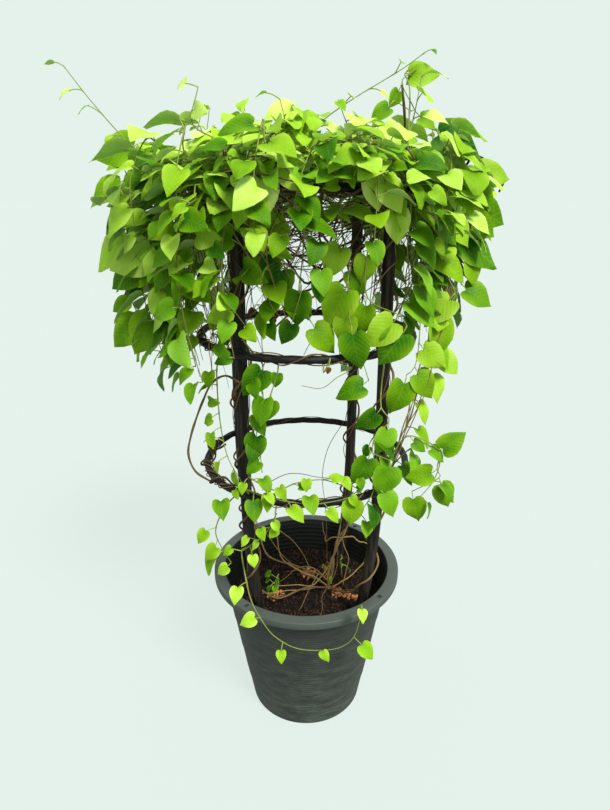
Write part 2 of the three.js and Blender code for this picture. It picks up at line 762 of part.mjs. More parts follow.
// The kinds of crown shoot, each with the ranges that its route is drawn from: out over the edge,
// down the side, in over the rim, and in over the middle
const crownKinds = [
  {
    kind: 'over', count: 13, nodes: 9, leaf: [38, 54], shade: 'mid', from: 0,
    route: (azimuth, draw) => {
      const swing = draw(-14, 14);
      const reach = draw(212, 228) + extraReach(azimuth);
      const [rise, crest] = [draw(862, 878), draw(872, 892)];
      const [edge, tip] = [draw(832, 848), draw(770, 790)];
      return [...fromHoop(2, azimuth, 60), polar(186, azimuth, rise),
        polar(reach - 24, azimuth + swing, crest), polar(reach, azimuth + 1.6 * swing, edge),
        polar(reach + 2, azimuth + 2 * swing, tip)];
    },
  },
  {
    kind: 'skirt', count: 11, nodes: 8, leaf: [38, 54], shade: 'deep', from: 10,
    route: (evenAzimuth, draw) => {
      const azimuth = bunched(evenAzimuth);
      const swing = draw(-9, 9);
      const reach = draw(188, 214) + extraReach(azimuth);
      const foot = hemHeight(azimuth) + draw(0, 16);
      const around = draw(0, 1) < 0.5 ? 0 : -60;
      const shoulder = 764;
      return [...fromHoop(2, azimuth, around), polar(190, azimuth, draw(800, 816)),
        polar(reach, azimuth + swing, shoulder), polar(reach, azimuth + 1.4 * swing, (shoulder + foot) / 2),
        polar(reach - 18, azimuth + 1.7 * swing, foot)];
    },
  },
  {
    kind: 'rim', count: 9, nodes: 5, leaf: [36, 50], shade: 'light', from: 5,
    route: (azimuth, draw) => {
      const swing = draw(12, 26);
      return [...fromHoop(2, azimuth, 120), polar(136, azimuth + 0.3 * swing, draw(868, 880)),
        polar(draw(112, 124), azimuth + swing, draw(884, 900)),
        polar(draw(84, 100), azimuth + 1.7 * swing, 892)];
    },
  },
  {
    kind: 'middle', count: 4, nodes: 7, leaf: [36, 50], shade: 'light', from: 22,
    route: (azimuth, draw) => [...fromHoop(2, azimuth, 120), polar(122, azimuth + 4, draw(856, 868)),
      polar(82, azimuth + draw(6, 20), draw(876, 888)), polar(32, azimuth + draw(10, 50), draw(884, 898))],
  },
];

crownKinds.forEach(({ kind, count, route, from, ...rest }, order) => {
  const draw = seededDraw(firstKindSeed + order);
  for (let index = 0; index < count; index += 1) {
    for (let attempt = 0; attempt < shoot.tries; attempt += 1) {
      const azimuth = from + 360 * index / count + draw(-crown.jitter, crown.jitter);
      const points = route(azimuth, draw);
      const seed = Math.floor(draw(1, 1e6));
      if (growShoot({ ...rest, name: `spray_${kind}_${index + 1}`, points, seed })) break;
    }
  }
});

const model = new THREE.Group();

function addPiece(name, geometry, shade) {
  const mesh = new THREE.Mesh(geometry, finish(shade));
  mesh.name = name;
  model.add(mesh);
}

addPiece('pot', geometryOf(makePot()), 'pot');
const postHoles = Object.values(azimuths).map((azimuth) => {
  const points = postPoints(azimuth);
  points[0].z -= 2 * gap;
  return tube(points.slice(0, 3), post.radius + gap, post.sides);
});
const rootHole = upright(rootCrown.x, rootCrown.y, rootCrown.bottom - gap, soil.holeTop,
  rootCrown.holeRadius, rootCrown.holeSides);
const seedlingHoles = seedlings.map(({ foot: [x, y] }) => upright(
  x, y, soil.edge - seedling.depth - gap, soil.holeTop, seedling.holeRadius, seedling.holeSides));
addPiece('soil', geometryOf(makeSoil([...postHoles, rootHole, ...seedlingHoles])), 'soil');
for (const [side, azimuth] of Object.entries(azimuths)) {
  addPiece(`post_${side}`, geometryOf(tube(postPoints(azimuth), post.radius, post.sides)), 'post');
}
hoop.heights.forEach((z, level) => {
  addPiece(`hoop_${['low', 'middle', 'top'][level]}`, makeHoop(z), 'hoop');
});
addPiece('woody_stems', geometryOf(makeWood()), 'wood');
for (const { name, geometry, shade } of shootPieces) addPiece(name, geometry, shade);

export default model;
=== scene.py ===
# Potted jacquemontia: a twining vine with heart-shaped leaves over a frame of four posts and
# three hoops, rooted in a ribbed nursery pot. The plant is laid out in millimetres with the
# origin under the pot's middle, and its meshes are built in metres.
import math
import bpy
import numpy as np
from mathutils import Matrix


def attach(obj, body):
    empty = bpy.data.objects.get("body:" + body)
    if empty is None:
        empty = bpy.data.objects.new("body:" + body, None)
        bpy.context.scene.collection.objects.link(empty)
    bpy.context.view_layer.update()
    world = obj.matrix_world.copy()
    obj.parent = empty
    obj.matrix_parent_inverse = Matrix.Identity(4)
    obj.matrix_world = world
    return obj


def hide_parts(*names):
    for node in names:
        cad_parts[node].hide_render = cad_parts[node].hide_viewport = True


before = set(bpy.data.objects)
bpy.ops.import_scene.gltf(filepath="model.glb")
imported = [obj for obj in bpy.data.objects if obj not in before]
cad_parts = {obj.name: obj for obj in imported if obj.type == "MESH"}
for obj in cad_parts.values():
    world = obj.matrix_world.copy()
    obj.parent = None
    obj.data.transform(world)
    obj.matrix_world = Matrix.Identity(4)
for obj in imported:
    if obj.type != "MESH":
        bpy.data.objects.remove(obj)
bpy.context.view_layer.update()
scene = bpy.context.scene
metres = 0.001
upward = np.array([0.0, 0.0, 1.0])


def putInScene(name, data):
    thing = bpy.data.objects.new(name, data)
    scene.collection.objects.link(thing)
    return thing


# Camera: stands in front of the pot, a little above the crown, and looks down at it
cameraSet = {"place": (-0.0021, -0.81894, 0.82018), "down": 19.794, "lens": 25.918, "sensor": 36}


def makeCamera(look):
    lens = bpy.data.cameras.new("camera")
    lens.sensor_width = look["sensor"]
    lens.lens = look["lens"]
    lens.clip_start = 0.01
    camera = putInScene("camera", lens)
    camera.location = look["place"]
    camera.rotation_euler = (math.radians(90 - look["down"]), 0, 0)
    scene.camera = camera


makeCamera(cameraSet)


# Shapes: a heap gathers surfaces, and becomes one piece
heapLists = ("points", "rim", "plan", "faces", "tone", "under", "finish")


def newHeap():
    return {"count": 0, **{label: [] for label in heapLists}}


def pour(heap, shapes, faces, plan=0.0, rim=False, tone=0.5, under=None, finish=0):
    # shapes holds the points of each copy of a shape. faces are arrays of three or four corners;
    # plan is each point's u and v, rim says which points lie on a sharp rim, and under says which
    # faces look down
    shapes = np.asarray(shapes, float)
    shapes = shapes[None] if shapes.ndim == 2 else shapes
    copies, size = shapes.shape[:2]
    heap["points"].append(shapes.reshape(-1, 3))
    heap["plan"].append(np.broadcast_to(plan, (copies, size, 2)).reshape(-1, 2))
    heap["rim"].append(np.broadcast_to(rim, (copies, size)).ravel())
    starts = heap["count"] + size * np.arange(copies)[:, None, None]
    under = under or [np.zeros(len(corners)) for corners in faces]
    for corners, below in zip(faces, under):
        heap["faces"].append((starts + corners).reshape(-1, corners.shape[1]))
        heap["tone"].append(np.repeat(np.broadcast_to(tone, copies), len(corners)))
        heap["under"].append(np.tile(below, copies))
        heap["finish"].append(np.full(copies * len(corners), finish))
    heap["count"] += copies * size


def meshOf(name, heap):
    mesh = bpy.data.meshes.new(name)
    faces = [face for corners in heap["faces"] for face in corners.tolist()]
    mesh.from_pydata((np.concatenate(heap["points"]) * metres).tolist(), [], faces)
    return mesh


def makePiece(name, heap, finishes, replaced=()):
    # one piece from a heap: smooth but for its rims, and each face keeps its tone and whether it
    # looks down
    mesh = meshOf(name, heap)
    mesh.polygons.foreach_set("use_smooth", np.ones(len(mesh.polygons), bool))
    mesh.polygons.foreach_set("material_index", np.concatenate(heap["finish"]).astype(np.int32))
    corners = np.empty(len(mesh.loops), np.int32)
    mesh.loops.foreach_get("vertex_index", corners)
    plan = mesh.uv_layers.new(name="plan")
    plan.data.foreach_set("uv", np.concatenate(heap["plan"])[corners].ravel())
    for label in ("tone", "under"):
        values = mesh.attributes.new(label, "FLOAT", "FACE")
        values.data.foreach_set("value", np.concatenate(heap[label]).astype(np.float32))
    ends = np.empty(len(mesh.edges) * 2, np.int32)
    mesh.edges.foreach_get("vertices", ends)
    sharp = np.concatenate(heap["rim"])[ends.reshape(-1, 2)].all(1)
    mesh.attributes.new("sharp_edge", "BOOLEAN", "EDGE").data.foreach_set("value", sharp)
    for finish in finishes:
        mesh.materials.append(finish)
    piece = putInScene(name, mesh)
    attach(piece, "root")
    if replaced:
        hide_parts(*replaced)
    return piece


def ringFaces(rings, around):
    # a skin of rings with one point at each end: the points are the start, the rings and the end
    ring, side = np.meshgrid(np.arange(rings - 1), np.arange(around), indexing="ij")
    here = 1 + ring * around + side
    beside = 1 + ring * around + (side + 1) % around
    quads = np.stack([here, beside, beside + around, here + around], -1).reshape(-1, 4)
    side = np.arange(around)
    nextSide = (side + 1) % around
    foot = np.stack([np.zeros_like(side), 1 + nextSide, 1 + side], -1)
    lastRing = 1 + (rings - 1) * around
    tip = np.stack([np.full_like(side, lastRing + around), lastRing + side, lastRing + nextSide], -1)
    return [quads, foot, tip]


def unit(vectors):
    return vectors / np.linalg.norm(vectors, axis=-1, keepdims=True)


guides = unit(np.array([(1, 0, 0), (0, 1, 0), (0, 0, 1), (1, 1, 0), (1, -1, 0), (0, 1, 1), (1, 0, -1)],
                       float))
uvLength = 10


def addTubes(heap, paths, radii, sides, **marks):
    # A tube's ring stands across its path at each point: centre plus radius times the cosine of
    # sideways plus the sine of the third direction. Sideways comes from the guide that the path
    # runs along the least. paths has one row of points for each tube. In the plan, u goes once
    # round and v grows by one over each uvLength.
    paths = np.asarray(paths, float)
    paths = paths[None] if paths.ndim == 2 else paths
    radii = np.broadcast_to(radii, paths.shape[:2])
    tangents = unit(np.gradient(paths, axis=1))
    guide = guides[np.abs(tangents @ guides.T).max(1).argmin(1)][:, None]
    sideways = unit(guide - (guide * tangents).sum(-1, keepdims=True) * tangents)
    third = np.cross(tangents, sideways)
    turn = 2 * np.pi * np.arange(sides) / sides
    spokes = sideways[:, :, None] * np.cos(turn)[:, None] + third[:, :, None] * np.sin(turn)[:, None]
    rings = (paths[:, :, None] + radii[:, :, None, None] * spokes).reshape(len(paths), -1, 3)
    chords = np.linalg.norm(np.diff(paths, axis=1), axis=-1).cumsum(1)
    reach = np.concatenate([np.zeros((len(paths), 1)), chords], 1)[:, :, None] / uvLength
    plan = np.stack(np.broadcast_arrays(turn / (2 * np.pi), reach), -1).reshape(len(paths), -1, 2)
    points = np.concatenate([paths[:, :1], rings, paths[:, -1:]], 1)
    plan = np.concatenate([plan[:, :1], plan, plan[:, -1:]], 1)
    pour(heap, points, ringFaces(paths.shape[1], sides), plan=plan, **marks)


def turned(vector, axis, angle):
    # the vector turned about the axis: along it, across it and round it
    along = axis * (vector @ axis)
    return along + (vector - along) * math.cos(angle) + np.cross(axis, vector) * math.sin(angle)


def polar(radius, degrees, z):
    angle = math.radians(degrees)
    return np.array([radius * math.cos(angle), radius * math.sin(angle), z])


def curveAt(points, shares):
    # a smooth curve through the points: between two of them a cubic whose slope at each is half
    # the step from its neighbour before to its neighbour after
    points = np.asarray(points, float)
    framed = np.concatenate([[2 * points[0] - points[1]], points, [2 * points[-1] - points[-2]]])
    place = np.asarray(shares) * (len(points) - 1)
    piece = np.minimum(place.astype(int), len(points) - 2)
    t = (place - piece)[:, None]
    before, start, end, after = (framed[piece + step] for step in range(4))
    slopeStart, slopeEnd = (end - before) / 2, (after - start) / 2
    cubic = 2 * (start - end) + slopeStart + slopeEnd
    square = 3 * (end - start) - 2 * slopeStart - slopeEnd
    return start + slopeStart * t + square * t ** 2 + cubic * t ** 3


chordCount = 200


def spaced(points, steps):
    # evenly spaced points on that curve, measured along many short chords
    shares = np.linspace(0, 1, chordCount + 1)
    chords = np.linalg.norm(np.diff(curveAt(points, shares), axis=0), axis=1)
    lengths = np.concatenate([[0], chords.cumsum()])
    return curveAt(points, np.interp(np.arange(steps + 1) / steps * lengths[-1], lengths, shares))


drawRule = {"factor": 1664525, "step": 1013904223, "span": 2 ** 32}


def drawRun(seed):
    # a run of even draws between two values: each state is the one before times the factor plus
    # the step, and the rest of that over the span
    state = [seed]

    def draw(low, high):
        state[0] = (state[0] * drawRule["factor"] + drawRule["step"]) % drawRule["span"]
        return low + (high - low) * state[0] / drawRule["span"]
    return draw


# Frame and woody stems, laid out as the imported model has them
pot = {"height": 251, "baseRadius": 92.3, "slope": 0.17, "wall": 2.8, "floor": 3.2, "rimRadius": 150,
       "rimThick": 2.6, "skirtDrop": 11}
post = {"radius": 8,
        "azimuths": {"front_left": 232, "front_right": 318, "back_right": 55, "back_left": 145},
        "bends": [(60, 84), (198, 108), (251, 118), (340, 129.7), (443, 134.9), (636, 134.9),
                  (845, 134.9)]}
hoop = {"radius": 150, "tube": 5.5, "heights": (443, 636, 828), "corners": 24, "tubeCorners": 6}
wood = {"radius": 2, "hug": 13, "pitch": 96.5, "stepsPerTurn": 5}
soilLevel = {"edge": 196, "middle": 201}
root = np.array([38.0, -4.0, 202.0])
lowHoop, middleHoop, topHoop = hoop["heights"]
azimuths = post["azimuths"]
climb = {"foot": lowHoop - 2 * wood["pitch"], "top": 810, "arcSteps": 7, "joinReach": 134,
         "joinRise": 8, "joinLead": 8}
wreath = {"from": -4, "to": 350, "outermost": azimuths["front_left"], "turnsPerQuarter": 3, "hug": 10}
wraps = {"turnsPerQuarter": 4, "hug": 10, "length": 66, "clearOfPost": 8, "inside": 128, "lead": 4}
crossingEnds = {"reach": 112, "start": 786, "end": 778}
arcsOverSoil = {
    "front_left": [(-2, -36, 226), (-38, -60, 226)],
    "front_right": [(54, -26, 212), (66, -48, 226)],
    "back_right": [(44, 26, 222), (50, 58, 234)],
    "back_left": [(-6, 22, 222), (-56, 40, 228)],
}
crossings = [(0, 6, (4, 6, 704)), (1, 8, (20, 20, 722)), (2, 7, (24, -16, 716)), (3, 9, (-20, 4, 690)),
             (4, 10, (-4, -20, 744)), (7, 11, (-52, 40, 736)), (1, 4, (70, -60, 732))]
strays = [
    (3, [(120, -50, 866), (116, -58, 902), (110, -60, 940)]),
    (4, [(146, 14, 812), (178, 8, 804), (214, -4, 866), (236, -8, 858), (256, -4, 842), (262, -4, 828),
         (252, -6, 824)]),
]
leftLoop = [(-114, -96, 600), (-138, -94, 562), (-160, -92, 500), (-158, -92, 470), (-146, -90, 452)]


def postReach(z):
    heights, reaches = zip(*post["bends"])
    return float(np.interp(z, heights, reaches))


def postPoints(azimuth):
    return np.array([polar(reach, azimuth, z) for z, reach in post["bends"]])


def postTwine(azimuth, low, high, hug, pitch, lead=0):
    # a helix round a post, nearest the middle of the frame at the low hoop when its lead is zero
    steps = round((high - low) / pitch * wood["stepsPerTurn"])
    points = []
    for step in range(steps + 1):
        z = low + (high - low) * step / steps
        turn = math.pi + 2 * math.pi * (z - lowHoop) / pitch + math.radians(lead)
        points.append(polar(postReach(z), azimuth, z) + polar(hug * math.cos(turn), azimuth, 0)
                      + polar(hug * math.sin(turn), azimuth + 90, 0))
    return points


def coilPoint(height, azimuth, phase, hug):
    angle = math.radians(phase)
    return polar(hoop["radius"] + hug * math.cos(angle), azimuth, height + hug * math.sin(angle))


def hoopCoil(height, start, end, outermost, turnsPerQuarter, hug):
    steps = math.ceil((end - start) * turnsPerQuarter / 90 * wood["stepsPerTurn"])
    turns = [start + (end - start) * step / steps for step in range(steps + 1)]
    return [coilPoint(height, turn, (turn - outermost) * 4 * turnsPerQuarter, hug) for turn in turns]


def inwardTurn(index):
    return wreath["outermost"] + (0.5 + index) * 90 / wreath["turnsPerQuarter"]


def topCoil(azimuth):
    phase = (azimuth - wreath["outermost"]) * 4 * wreath["turnsPerQuarter"]
    return coilPoint(topHoop, azimuth, phase, wreath["hug"])


def stationAt(points, z):
    return min(points, key=lambda point: abs(point[2] - z))


def layWood():
    # for each post an arc over the soil with a twining stem and a join to the wreath, then the
    # wreath on the top hoop, the crossings under it, a wrap on each lower hoop, the loop at the
    # left and the strays
    paths, twines = [], {}
    for side, over in arcsOverSoil.items():
        azimuth = azimuths[side]
        twine = postTwine(azimuth, climb["foot"], climb["top"], wood["hug"], wood["pitch"])
        twines[side] = twine
        arc = spaced([root, *over, twine[0], twine[1]], climb["arcSteps"])[:-2]
        paths.append([*arc, *twine[1:]])
        turns = (azimuth + climb["joinLead"] - inwardTurn(0)) * wreath["turnsPerQuarter"] / 90
        landing = inwardTurn(math.ceil(turns))
        join = polar(climb["joinReach"], (azimuth + landing) / 2, climb["top"] + climb["joinRise"])
        paths.append(spaced([twine[-1], join, topCoil(landing)], 3))
    paths.append(hoopCoil(topHoop, wreath["from"], wreath["to"], wreath["outermost"],
                          wreath["turnsPerQuarter"], wreath["hug"]))
    inside = crossingEnds["reach"]
    for start, end, middle in crossings:
        leave, arrive = inwardTurn(start), inwardTurn(end)
        paths.append(spaced([topCoil(leave), polar(inside, leave, crossingEnds["start"]), middle,
                             polar(inside, arrive, crossingEnds["end"]), topCoil(arrive)], 6))
    halfTurn = 90 / wraps["turnsPerQuarter"] / 2
    lowEnd = azimuths["front_left"] - wraps["clearOfPost"]
    lowOutermost = lowEnd - halfTurn
    paths.append([*hoopCoil(lowHoop, lowEnd - wraps["length"], lowEnd, lowOutermost,
                            wraps["turnsPerQuarter"], wraps["hug"]),
                  polar(wraps["inside"], azimuths["front_left"] - wraps["lead"], lowHoop),
                  stationAt(twines["front_left"], lowHoop)])
    middleStart = azimuths["back_right"] + wraps["clearOfPost"]
    paths.append([stationAt(twines["back_right"], middleHoop),
                  polar(wraps["inside"], azimuths["back_right"] + wraps["lead"], middleHoop),
                  *hoopCoil(middleHoop, middleStart, middleStart + wraps["length"],
                            middleStart - halfTurn, wraps["turnsPerQuarter"], wraps["hug"])])
    loopEnd = coilPoint(lowHoop, lowOutermost, 0, wraps["hug"])
    paths.append(spaced([stationAt(twines["front_left"], leftLoop[0][2]), *leftLoop, loopEnd], 8))
    for start, route in strays:
        paths.append(spaced([topCoil(inwardTurn(start)), *route], len(route) + 1))
    return [np.array(path, float) for path in paths]


woodPaths = layWood()


# Vine rule: leaves and stems take their room as balls, and what would touch is left out
shoot = {"stalk": (11, 17), "spring": 10, "gap": 0.35, "lastLeaf": 0.7, "leafTries": 14, "tries": 60}
room = {"carrier": 1, "post": 7, "hoop": 6, "wood": 5, "stem": 4, "stemBall": 2.4, "stalkBall": 1.2,
        "alongStalk": 0.6, "bladeBall": 3.8, "rootBalls": 3, "widest": 9.5, "mostBalls": 120000}
hang = {"faceOut": (0.3, 0.35), "faceUp": (1, -0.4), "pointOut": (0.95, -0.25),
        "pointUp": (-0.2, -0.42), "followStem": 0.25, "tilt": (-0.35, 0.35), "turnAside": 0.5,
        "turn": (-0.8, 0.8), "roll": (-0.5, 0.5), "stalkAside": 0.7, "stalkUp": 0.5}
crown = {"x": -14, "y": 0, "top": 880, "fall": 170, "bunch": 14, "flat": 28, "jitter": 13,
         "firstSeed": 100}
bladeSize = {"width": 0.86, "fold": 0.26, "droop": 0.26}
bladeRows = [(-0.08, 0.33), (0.1, 0.47), (0.28, 0.5), (0.46, 0.43), (0.64, 0.3), (0.82, 0.13), (1, 0)]
bladeGrid = np.array([(column * half, y) for y, half in bladeRows
                      for column in ((-1, -0.5, 0, 0.5, 1) if half else (0,))])

taken = {"centres": np.zeros((room["mostBalls"], 3)), "radii": np.zeros(room["mostBalls"]), "count": 0}


def take(centres, radii):
    span = slice(taken["count"], taken["count"] + len(centres))
    taken["centres"][span] = centres
    taken["radii"][span] = radii
    taken["count"] += len(centres)


def isClear(centres, radii, past=0, until=None):
    span = slice(past, until or taken["count"])
    others, sizes = taken["centres"][span], taken["radii"][span]
    reach = radii.max() + room["widest"]
    near = ((others > centres.min(0) - reach) & (others < centres.max(0) + reach)).all(1)
    if not near.any():
        return True
    away = ((centres[:, None] - others[near]) ** 2).sum(-1)
    return not (away < (radii[:, None] + sizes[near]) ** 2).any()


def ballsAlong(points, spacing):
    points = np.asarray(points, float)
    centres = []
    for start, end in zip(points[:-1], points[1:]):
        count = math.ceil(np.linalg.norm(end - start) / spacing)
        centres.append(start + (end - start) * (np.arange(count) / count)[:, None])
    return np.concatenate([*centres, points[-1:]])


def takeCarriers():
    for azimuth in azimuths.values():
        centres = ballsAlong(postPoints(azimuth), room["post"])
        take(centres, post["radius"] + room["carrier"])
    for z in hoop["heights"]:
        ring = [polar(hoop["radius"], 360 * corner / hoop["corners"], z)
                for corner in range(hoop["corners"] + 1)]
        take(ballsAlong(ring, room["hoop"]), hoop["tube"] + room["carrier"])
    carriers = taken["count"]
    for points in woodPaths:
        take(ballsAlong(points, room["wood"]), wood["radius"] + room["carrier"])
    return carriers


carrierBalls = takeCarriers()


def leafPose(at, tangent, side, size, draw, hang):
    # blades face up and outward, and their tips hang more the further down the crown's side they
    # are; stalks point to alternate sides
    outward = unit(np.array([at[0] - crown["x"], at[1] - crown["y"], 0]))
    fall = min(max((crown["top"] - at[2]) / crown["fall"], 0), 1)
    face, lift, point, dip = (hang[name][0] + hang[name][1] * fall
                              for name in ("faceOut", "faceUp", "pointOut", "pointUp"))
    normal = unit(outward * face + upward * lift + outward * draw(*hang["tilt"]))
    along = outward * point + upward * dip + tangent * hang["followStem"]
    along = unit(along - normal * (along @ normal))
    along = turned(along, normal, side * hang["turnAside"] + draw(*hang["turn"]))
    normal = turned(normal, along, draw(*hang["roll"]))
    across = np.cross(along, normal)
    stalk = unit(np.cross(tangent, normal) * side * hang["stalkAside"] + normal * hang["stalkUp"]
                 + along * hang["stalkAside"])
    foot = at + stalk * draw(*shoot["stalk"])
    return {"at": at, "foot": foot, "along": along, "across": across, "normal": normal, "size": size}


def leafBalls(leaf, bladeBall):
    wide = bladeGrid[:, :1] * leaf["size"] * bladeSize["width"]
    long = bladeGrid[:, 1:] * leaf["size"]
    rise = bladeSize["fold"] * np.abs(wide) - bladeSize["droop"] * long * np.abs(bladeGrid[:, 1:])
    blade = leaf["foot"] + leaf["across"] * wide + leaf["along"] * long + leaf["normal"] * rise
    stalk = leaf["at"] + (leaf["foot"] - leaf["at"]) * room["alongStalk"]
    radii = np.full(len(blade) + 1, float(bladeBall))
    radii[0] = room["stalkBall"]
    return np.concatenate([stalk[None], blade]), radii


def growShoot(name, points, nodes, leaf, seed, bare=1, shade="mid", hang=hang,
              bladeBall=room["bladeBall"], stemBall=room["stemBall"], among=None):
    # a stem through the points with a leaf on alternate sides at each node, or nothing when the
    # stem would touch something. A stem that grows among others only keeps clear of the frame.
    draw = drawRun(seed)
    stations = spaced(points, nodes)
    stem = ballsAlong(stations, room["stem"])
    thick = np.full(len(stem), float(stemBall))
    atRoot = room["rootBalls"]
    if not among and not isClear(stem[:atRoot], thick[:atRoot], carrierBalls):
        return None
    if len(stem) > atRoot and not isClear(stem[atRoot:], thick[atRoot:], until=among):
        return None
    take(stem, stemBall)
    leaves = []
    side = 1 if draw(0, 1) < 0.5 else -1
    for node in range(bare, nodes + 1):
        tangent = unit(stations[min(node + 1, nodes)] - stations[node - 1])
        size = draw(*leaf) * (shoot["lastLeaf"] if node == nodes else 1)
        for attempt in range(shoot["leafTries"]):
            pose = leafPose(stations[node], tangent, side, size, draw, hang)
            balls, radii = leafBalls(pose, bladeBall)
            if isClear(balls, radii):
                take(balls, radii)
                leaves.append(pose)
                break
        side = -side
    return {"name": name, "shade": shade, "points": np.array(points, float), "leaves": leaves,
            "seed": seed, "nodes": nodes}


def fromHoop(height, azimuth, around):
    # the first two points of a shoot that springs from the skin of a hoop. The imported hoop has
    # corners, so a start between two of them is drawn in by the sag of the side.
    step = 180 / hoop["corners"]
    index = math.floor(azimuth / step + 0.5)
    sag = 0 if index % 2 == 0 else hoop["radius"] * (1 - math.cos(math.radians(step)))
    turn = math.floor(around * hoop["tubeCorners"] / 360 + 0.5) * 360 / hoop["tubeCorners"]
    start = hoop["tube"] + shoot["gap"]
    return [coilPoint(height, index * step, turn, hug) - polar(sag, index * step, 0)
            for hug in (start, start + shoot["spring"])]


def fromPost(azimuth, z, around):
    # the same for a post
    centre = polar(postReach(z), azimuth, z)
    start = post["radius"] + shoot["gap"]
    return [centre + polar(reach, azimuth + around, 0) for reach in (start, start + shoot["spring"])]


# Shoots that stand out in the view from the front, placed one by one
frontLeft = azimuths["front_left"]
frontRight = azimuths["front_right"]
backRight = azimuths["back_right"]
placedShoots = [
    {"name": "shoot_upper_left", "shade": "light", "nodes": 7, "leaf": (13, 22), "seed": 11,
     "points": [*fromHoop(topHoop, 216, 60), (-177, -60, 854), (-213, -60, 880), (-252, -52, 922),
                (-284, -44, 962)]},
    {"name": "shoot_top", "shade": "light", "nodes": 7, "leaf": (10, 18), "seed": 12,
     "points": [*fromHoop(topHoop, 263, 100), (-4, -100, 868), (13, -60, 898), (53, -50, 926),
                (111, -30, 960), (137, -30, 977)]},
    {"name": "shoot_right_top", "shade": "light", "nodes": 5, "leaf": (24, 36), "seed": 13,
     "points": [*fromHoop(topHoop, 312, 60), (108, -110, 862), (120, -86, 898), (128, -66, 926),
                (132, -58, 948)]},
    {"name": "shoot_right_arch", "shade": "deep", "nodes": 6, "leaf": (30, 38), "seed": 14,
     "points": [*fromPost(frontRight, 472, -10), (132, -122, 506), (150, -140, 524),
                (168, -148, 508), (163, -150, 478), (146, -150, 452)]},
    {"name": "shoot_pot_front", "shade": "light", "nodes": 6, "leaf": (22, 34), "seed": 15,
     "points": [*fromPost(frontLeft, 350, 0), (-84, -146, 330), (-76, -158, 298), (-62, -160, 266),
                (-44, -156, 234), (-10, -152, 209), (40, -152, 209), (66, -150, 226),
                (75, -150, 262), (76, -150, 284)]},
    {"name": "shoot_low_hoop", "shade": "mid", "nodes": 6, "leaf": (26, 38), "seed": 16,
     "points": [*fromHoop(lowHoop, 242, 60), polar(160, 250, 454), polar(162, 262, 452),
                polar(160, 274, 448), polar(162, 286, 452)]},
    {"name": "shoot_left_foot", "shade": "mid", "nodes": 6, "leaf": (24, 36), "seed": 17,
     "points": [*fromPost(frontLeft, 432, -30), (-112, -138, 424), (-122, -140, 396),
                (-116, -134, 366), (-104, -134, 342)]},
    {"name": "shoot_right_foot", "shade": "deep", "nodes": 6, "leaf": (34, 46), "seed": 18,
     "points": [*fromPost(frontRight, 523, -60), (90, -126, 520), (90, -142, 490), (86, -144, 456),
                (70, -142, 424)]},
    {"name": "shoot_right_bundle", "shade": "mid", "nodes": 8, "leaf": (32, 48), "seed": 19,
     "points": [*fromHoop(topHoop, 337, -40), (162, -66, 790), (160, -62, 740), (158, -74, 680),
                (156, -84, 620), (142, -92, 570), (132, -98, 530)]},
    {"name": "shoot_left_inner", "shade": "deep", "nodes": 7, "leaf": (28, 44), "seed": 20,
     "points": [*fromHoop(middleHoop, 246, -100), (-56, -134, 600), (-52, -132, 560), (-60, -128, 520),
                (-58, -134, 480)]},
    {"name": "shoot_back_right", "shade": "mid", "nodes": 7, "leaf": (30, 44), "seed": 21,
     "points": [*fromPost(backRight, 684, 150), (52, 74, 690), (48, 66, 650), (50, 68, 605),
                (56, 78, 560)]},
]
seedlings = [
    {"name": "seedling_left", "foot": (-53, -8), "lean": (8, -6), "seed": 31},
    {"name": "seedling_right", "foot": (62, 34), "lean": (-4, -8), "seed": 32},
]
seedling = {"depth": 10, "height": 40, "nodes": 5, "leaf": (13, 18), "bare": 3}

# How low the leaves hang, by azimuth
hem = [(0, 660), (45, 715), (90, 745), (135, 690), (180, 600), (215, 590), (245, 650), (270, 735),
       (300, 690), (330, 640), (360, 660)]


def hemHeight(azimuth):
    return float(np.interp(azimuth % 360, *zip(*hem)))


def extraReach(azimuth):
    angle = math.radians(azimuth)
    return crown["x"] * math.cos(angle) - crown["flat"] * math.sin(angle) ** 2


# Routes of the crown's shoots: out over the edge, down the side, in over the rim and in over the
# middle. The order of the draws matters.
def overRoute(azimuth, draw):
    swing = draw(-14, 14)
    reach = draw(212, 228) + extraReach(azimuth)
    rise, crest = draw(862, 878), draw(872, 892)
    edge, tip = draw(832, 848), draw(770, 790)
    return [*fromHoop(topHoop, azimuth, 60), polar(186, azimuth, rise),
            polar(reach - 24, azimuth + swing, crest), polar(reach, azimuth + 1.6 * swing, edge),
            polar(reach + 2, azimuth + 2 * swing, tip)]


def skirtRoute(evenAzimuth, draw):
    azimuth = evenAzimuth - crown["bunch"] * math.sin(math.radians(2 * evenAzimuth))
    swing = draw(-9, 9)
    reach = draw(188, 214) + extraReach(azimuth)
    foot = hemHeight(azimuth) + draw(0, 16)
    around = 0 if draw(0, 1) < 0.5 else -60
    shoulder = 764
    return [*fromHoop(topHoop, azimuth, around), polar(190, azimuth, draw(800, 816)),
            polar(reach, azimuth + swing, shoulder),
            polar(reach, azimuth + 1.4 * swing, (shoulder + foot) / 2),
            polar(reach - 18, azimuth + 1.7 * swing, foot)]


def rimRoute(azimuth, draw):
    swing = draw(12, 26)
    return [*fromHoop(topHoop, azimuth, 120), polar(136, azimuth + 0.3 * swing, draw(868, 880)),
            polar(draw(112, 124), azimuth + swing, draw(884, 900)),
            polar(draw(84, 100), azimuth + 1.7 * swing, 892)]


def middleRoute(azimuth, draw):
    return [*fromHoop(topHoop, azimuth, 120), polar(122, azimuth + 4, draw(856, 868)),
            polar(82, azimuth + draw(6, 20), draw(876, 888)),
            polar(32, azimuth + draw(10, 50), draw(884, 898))]


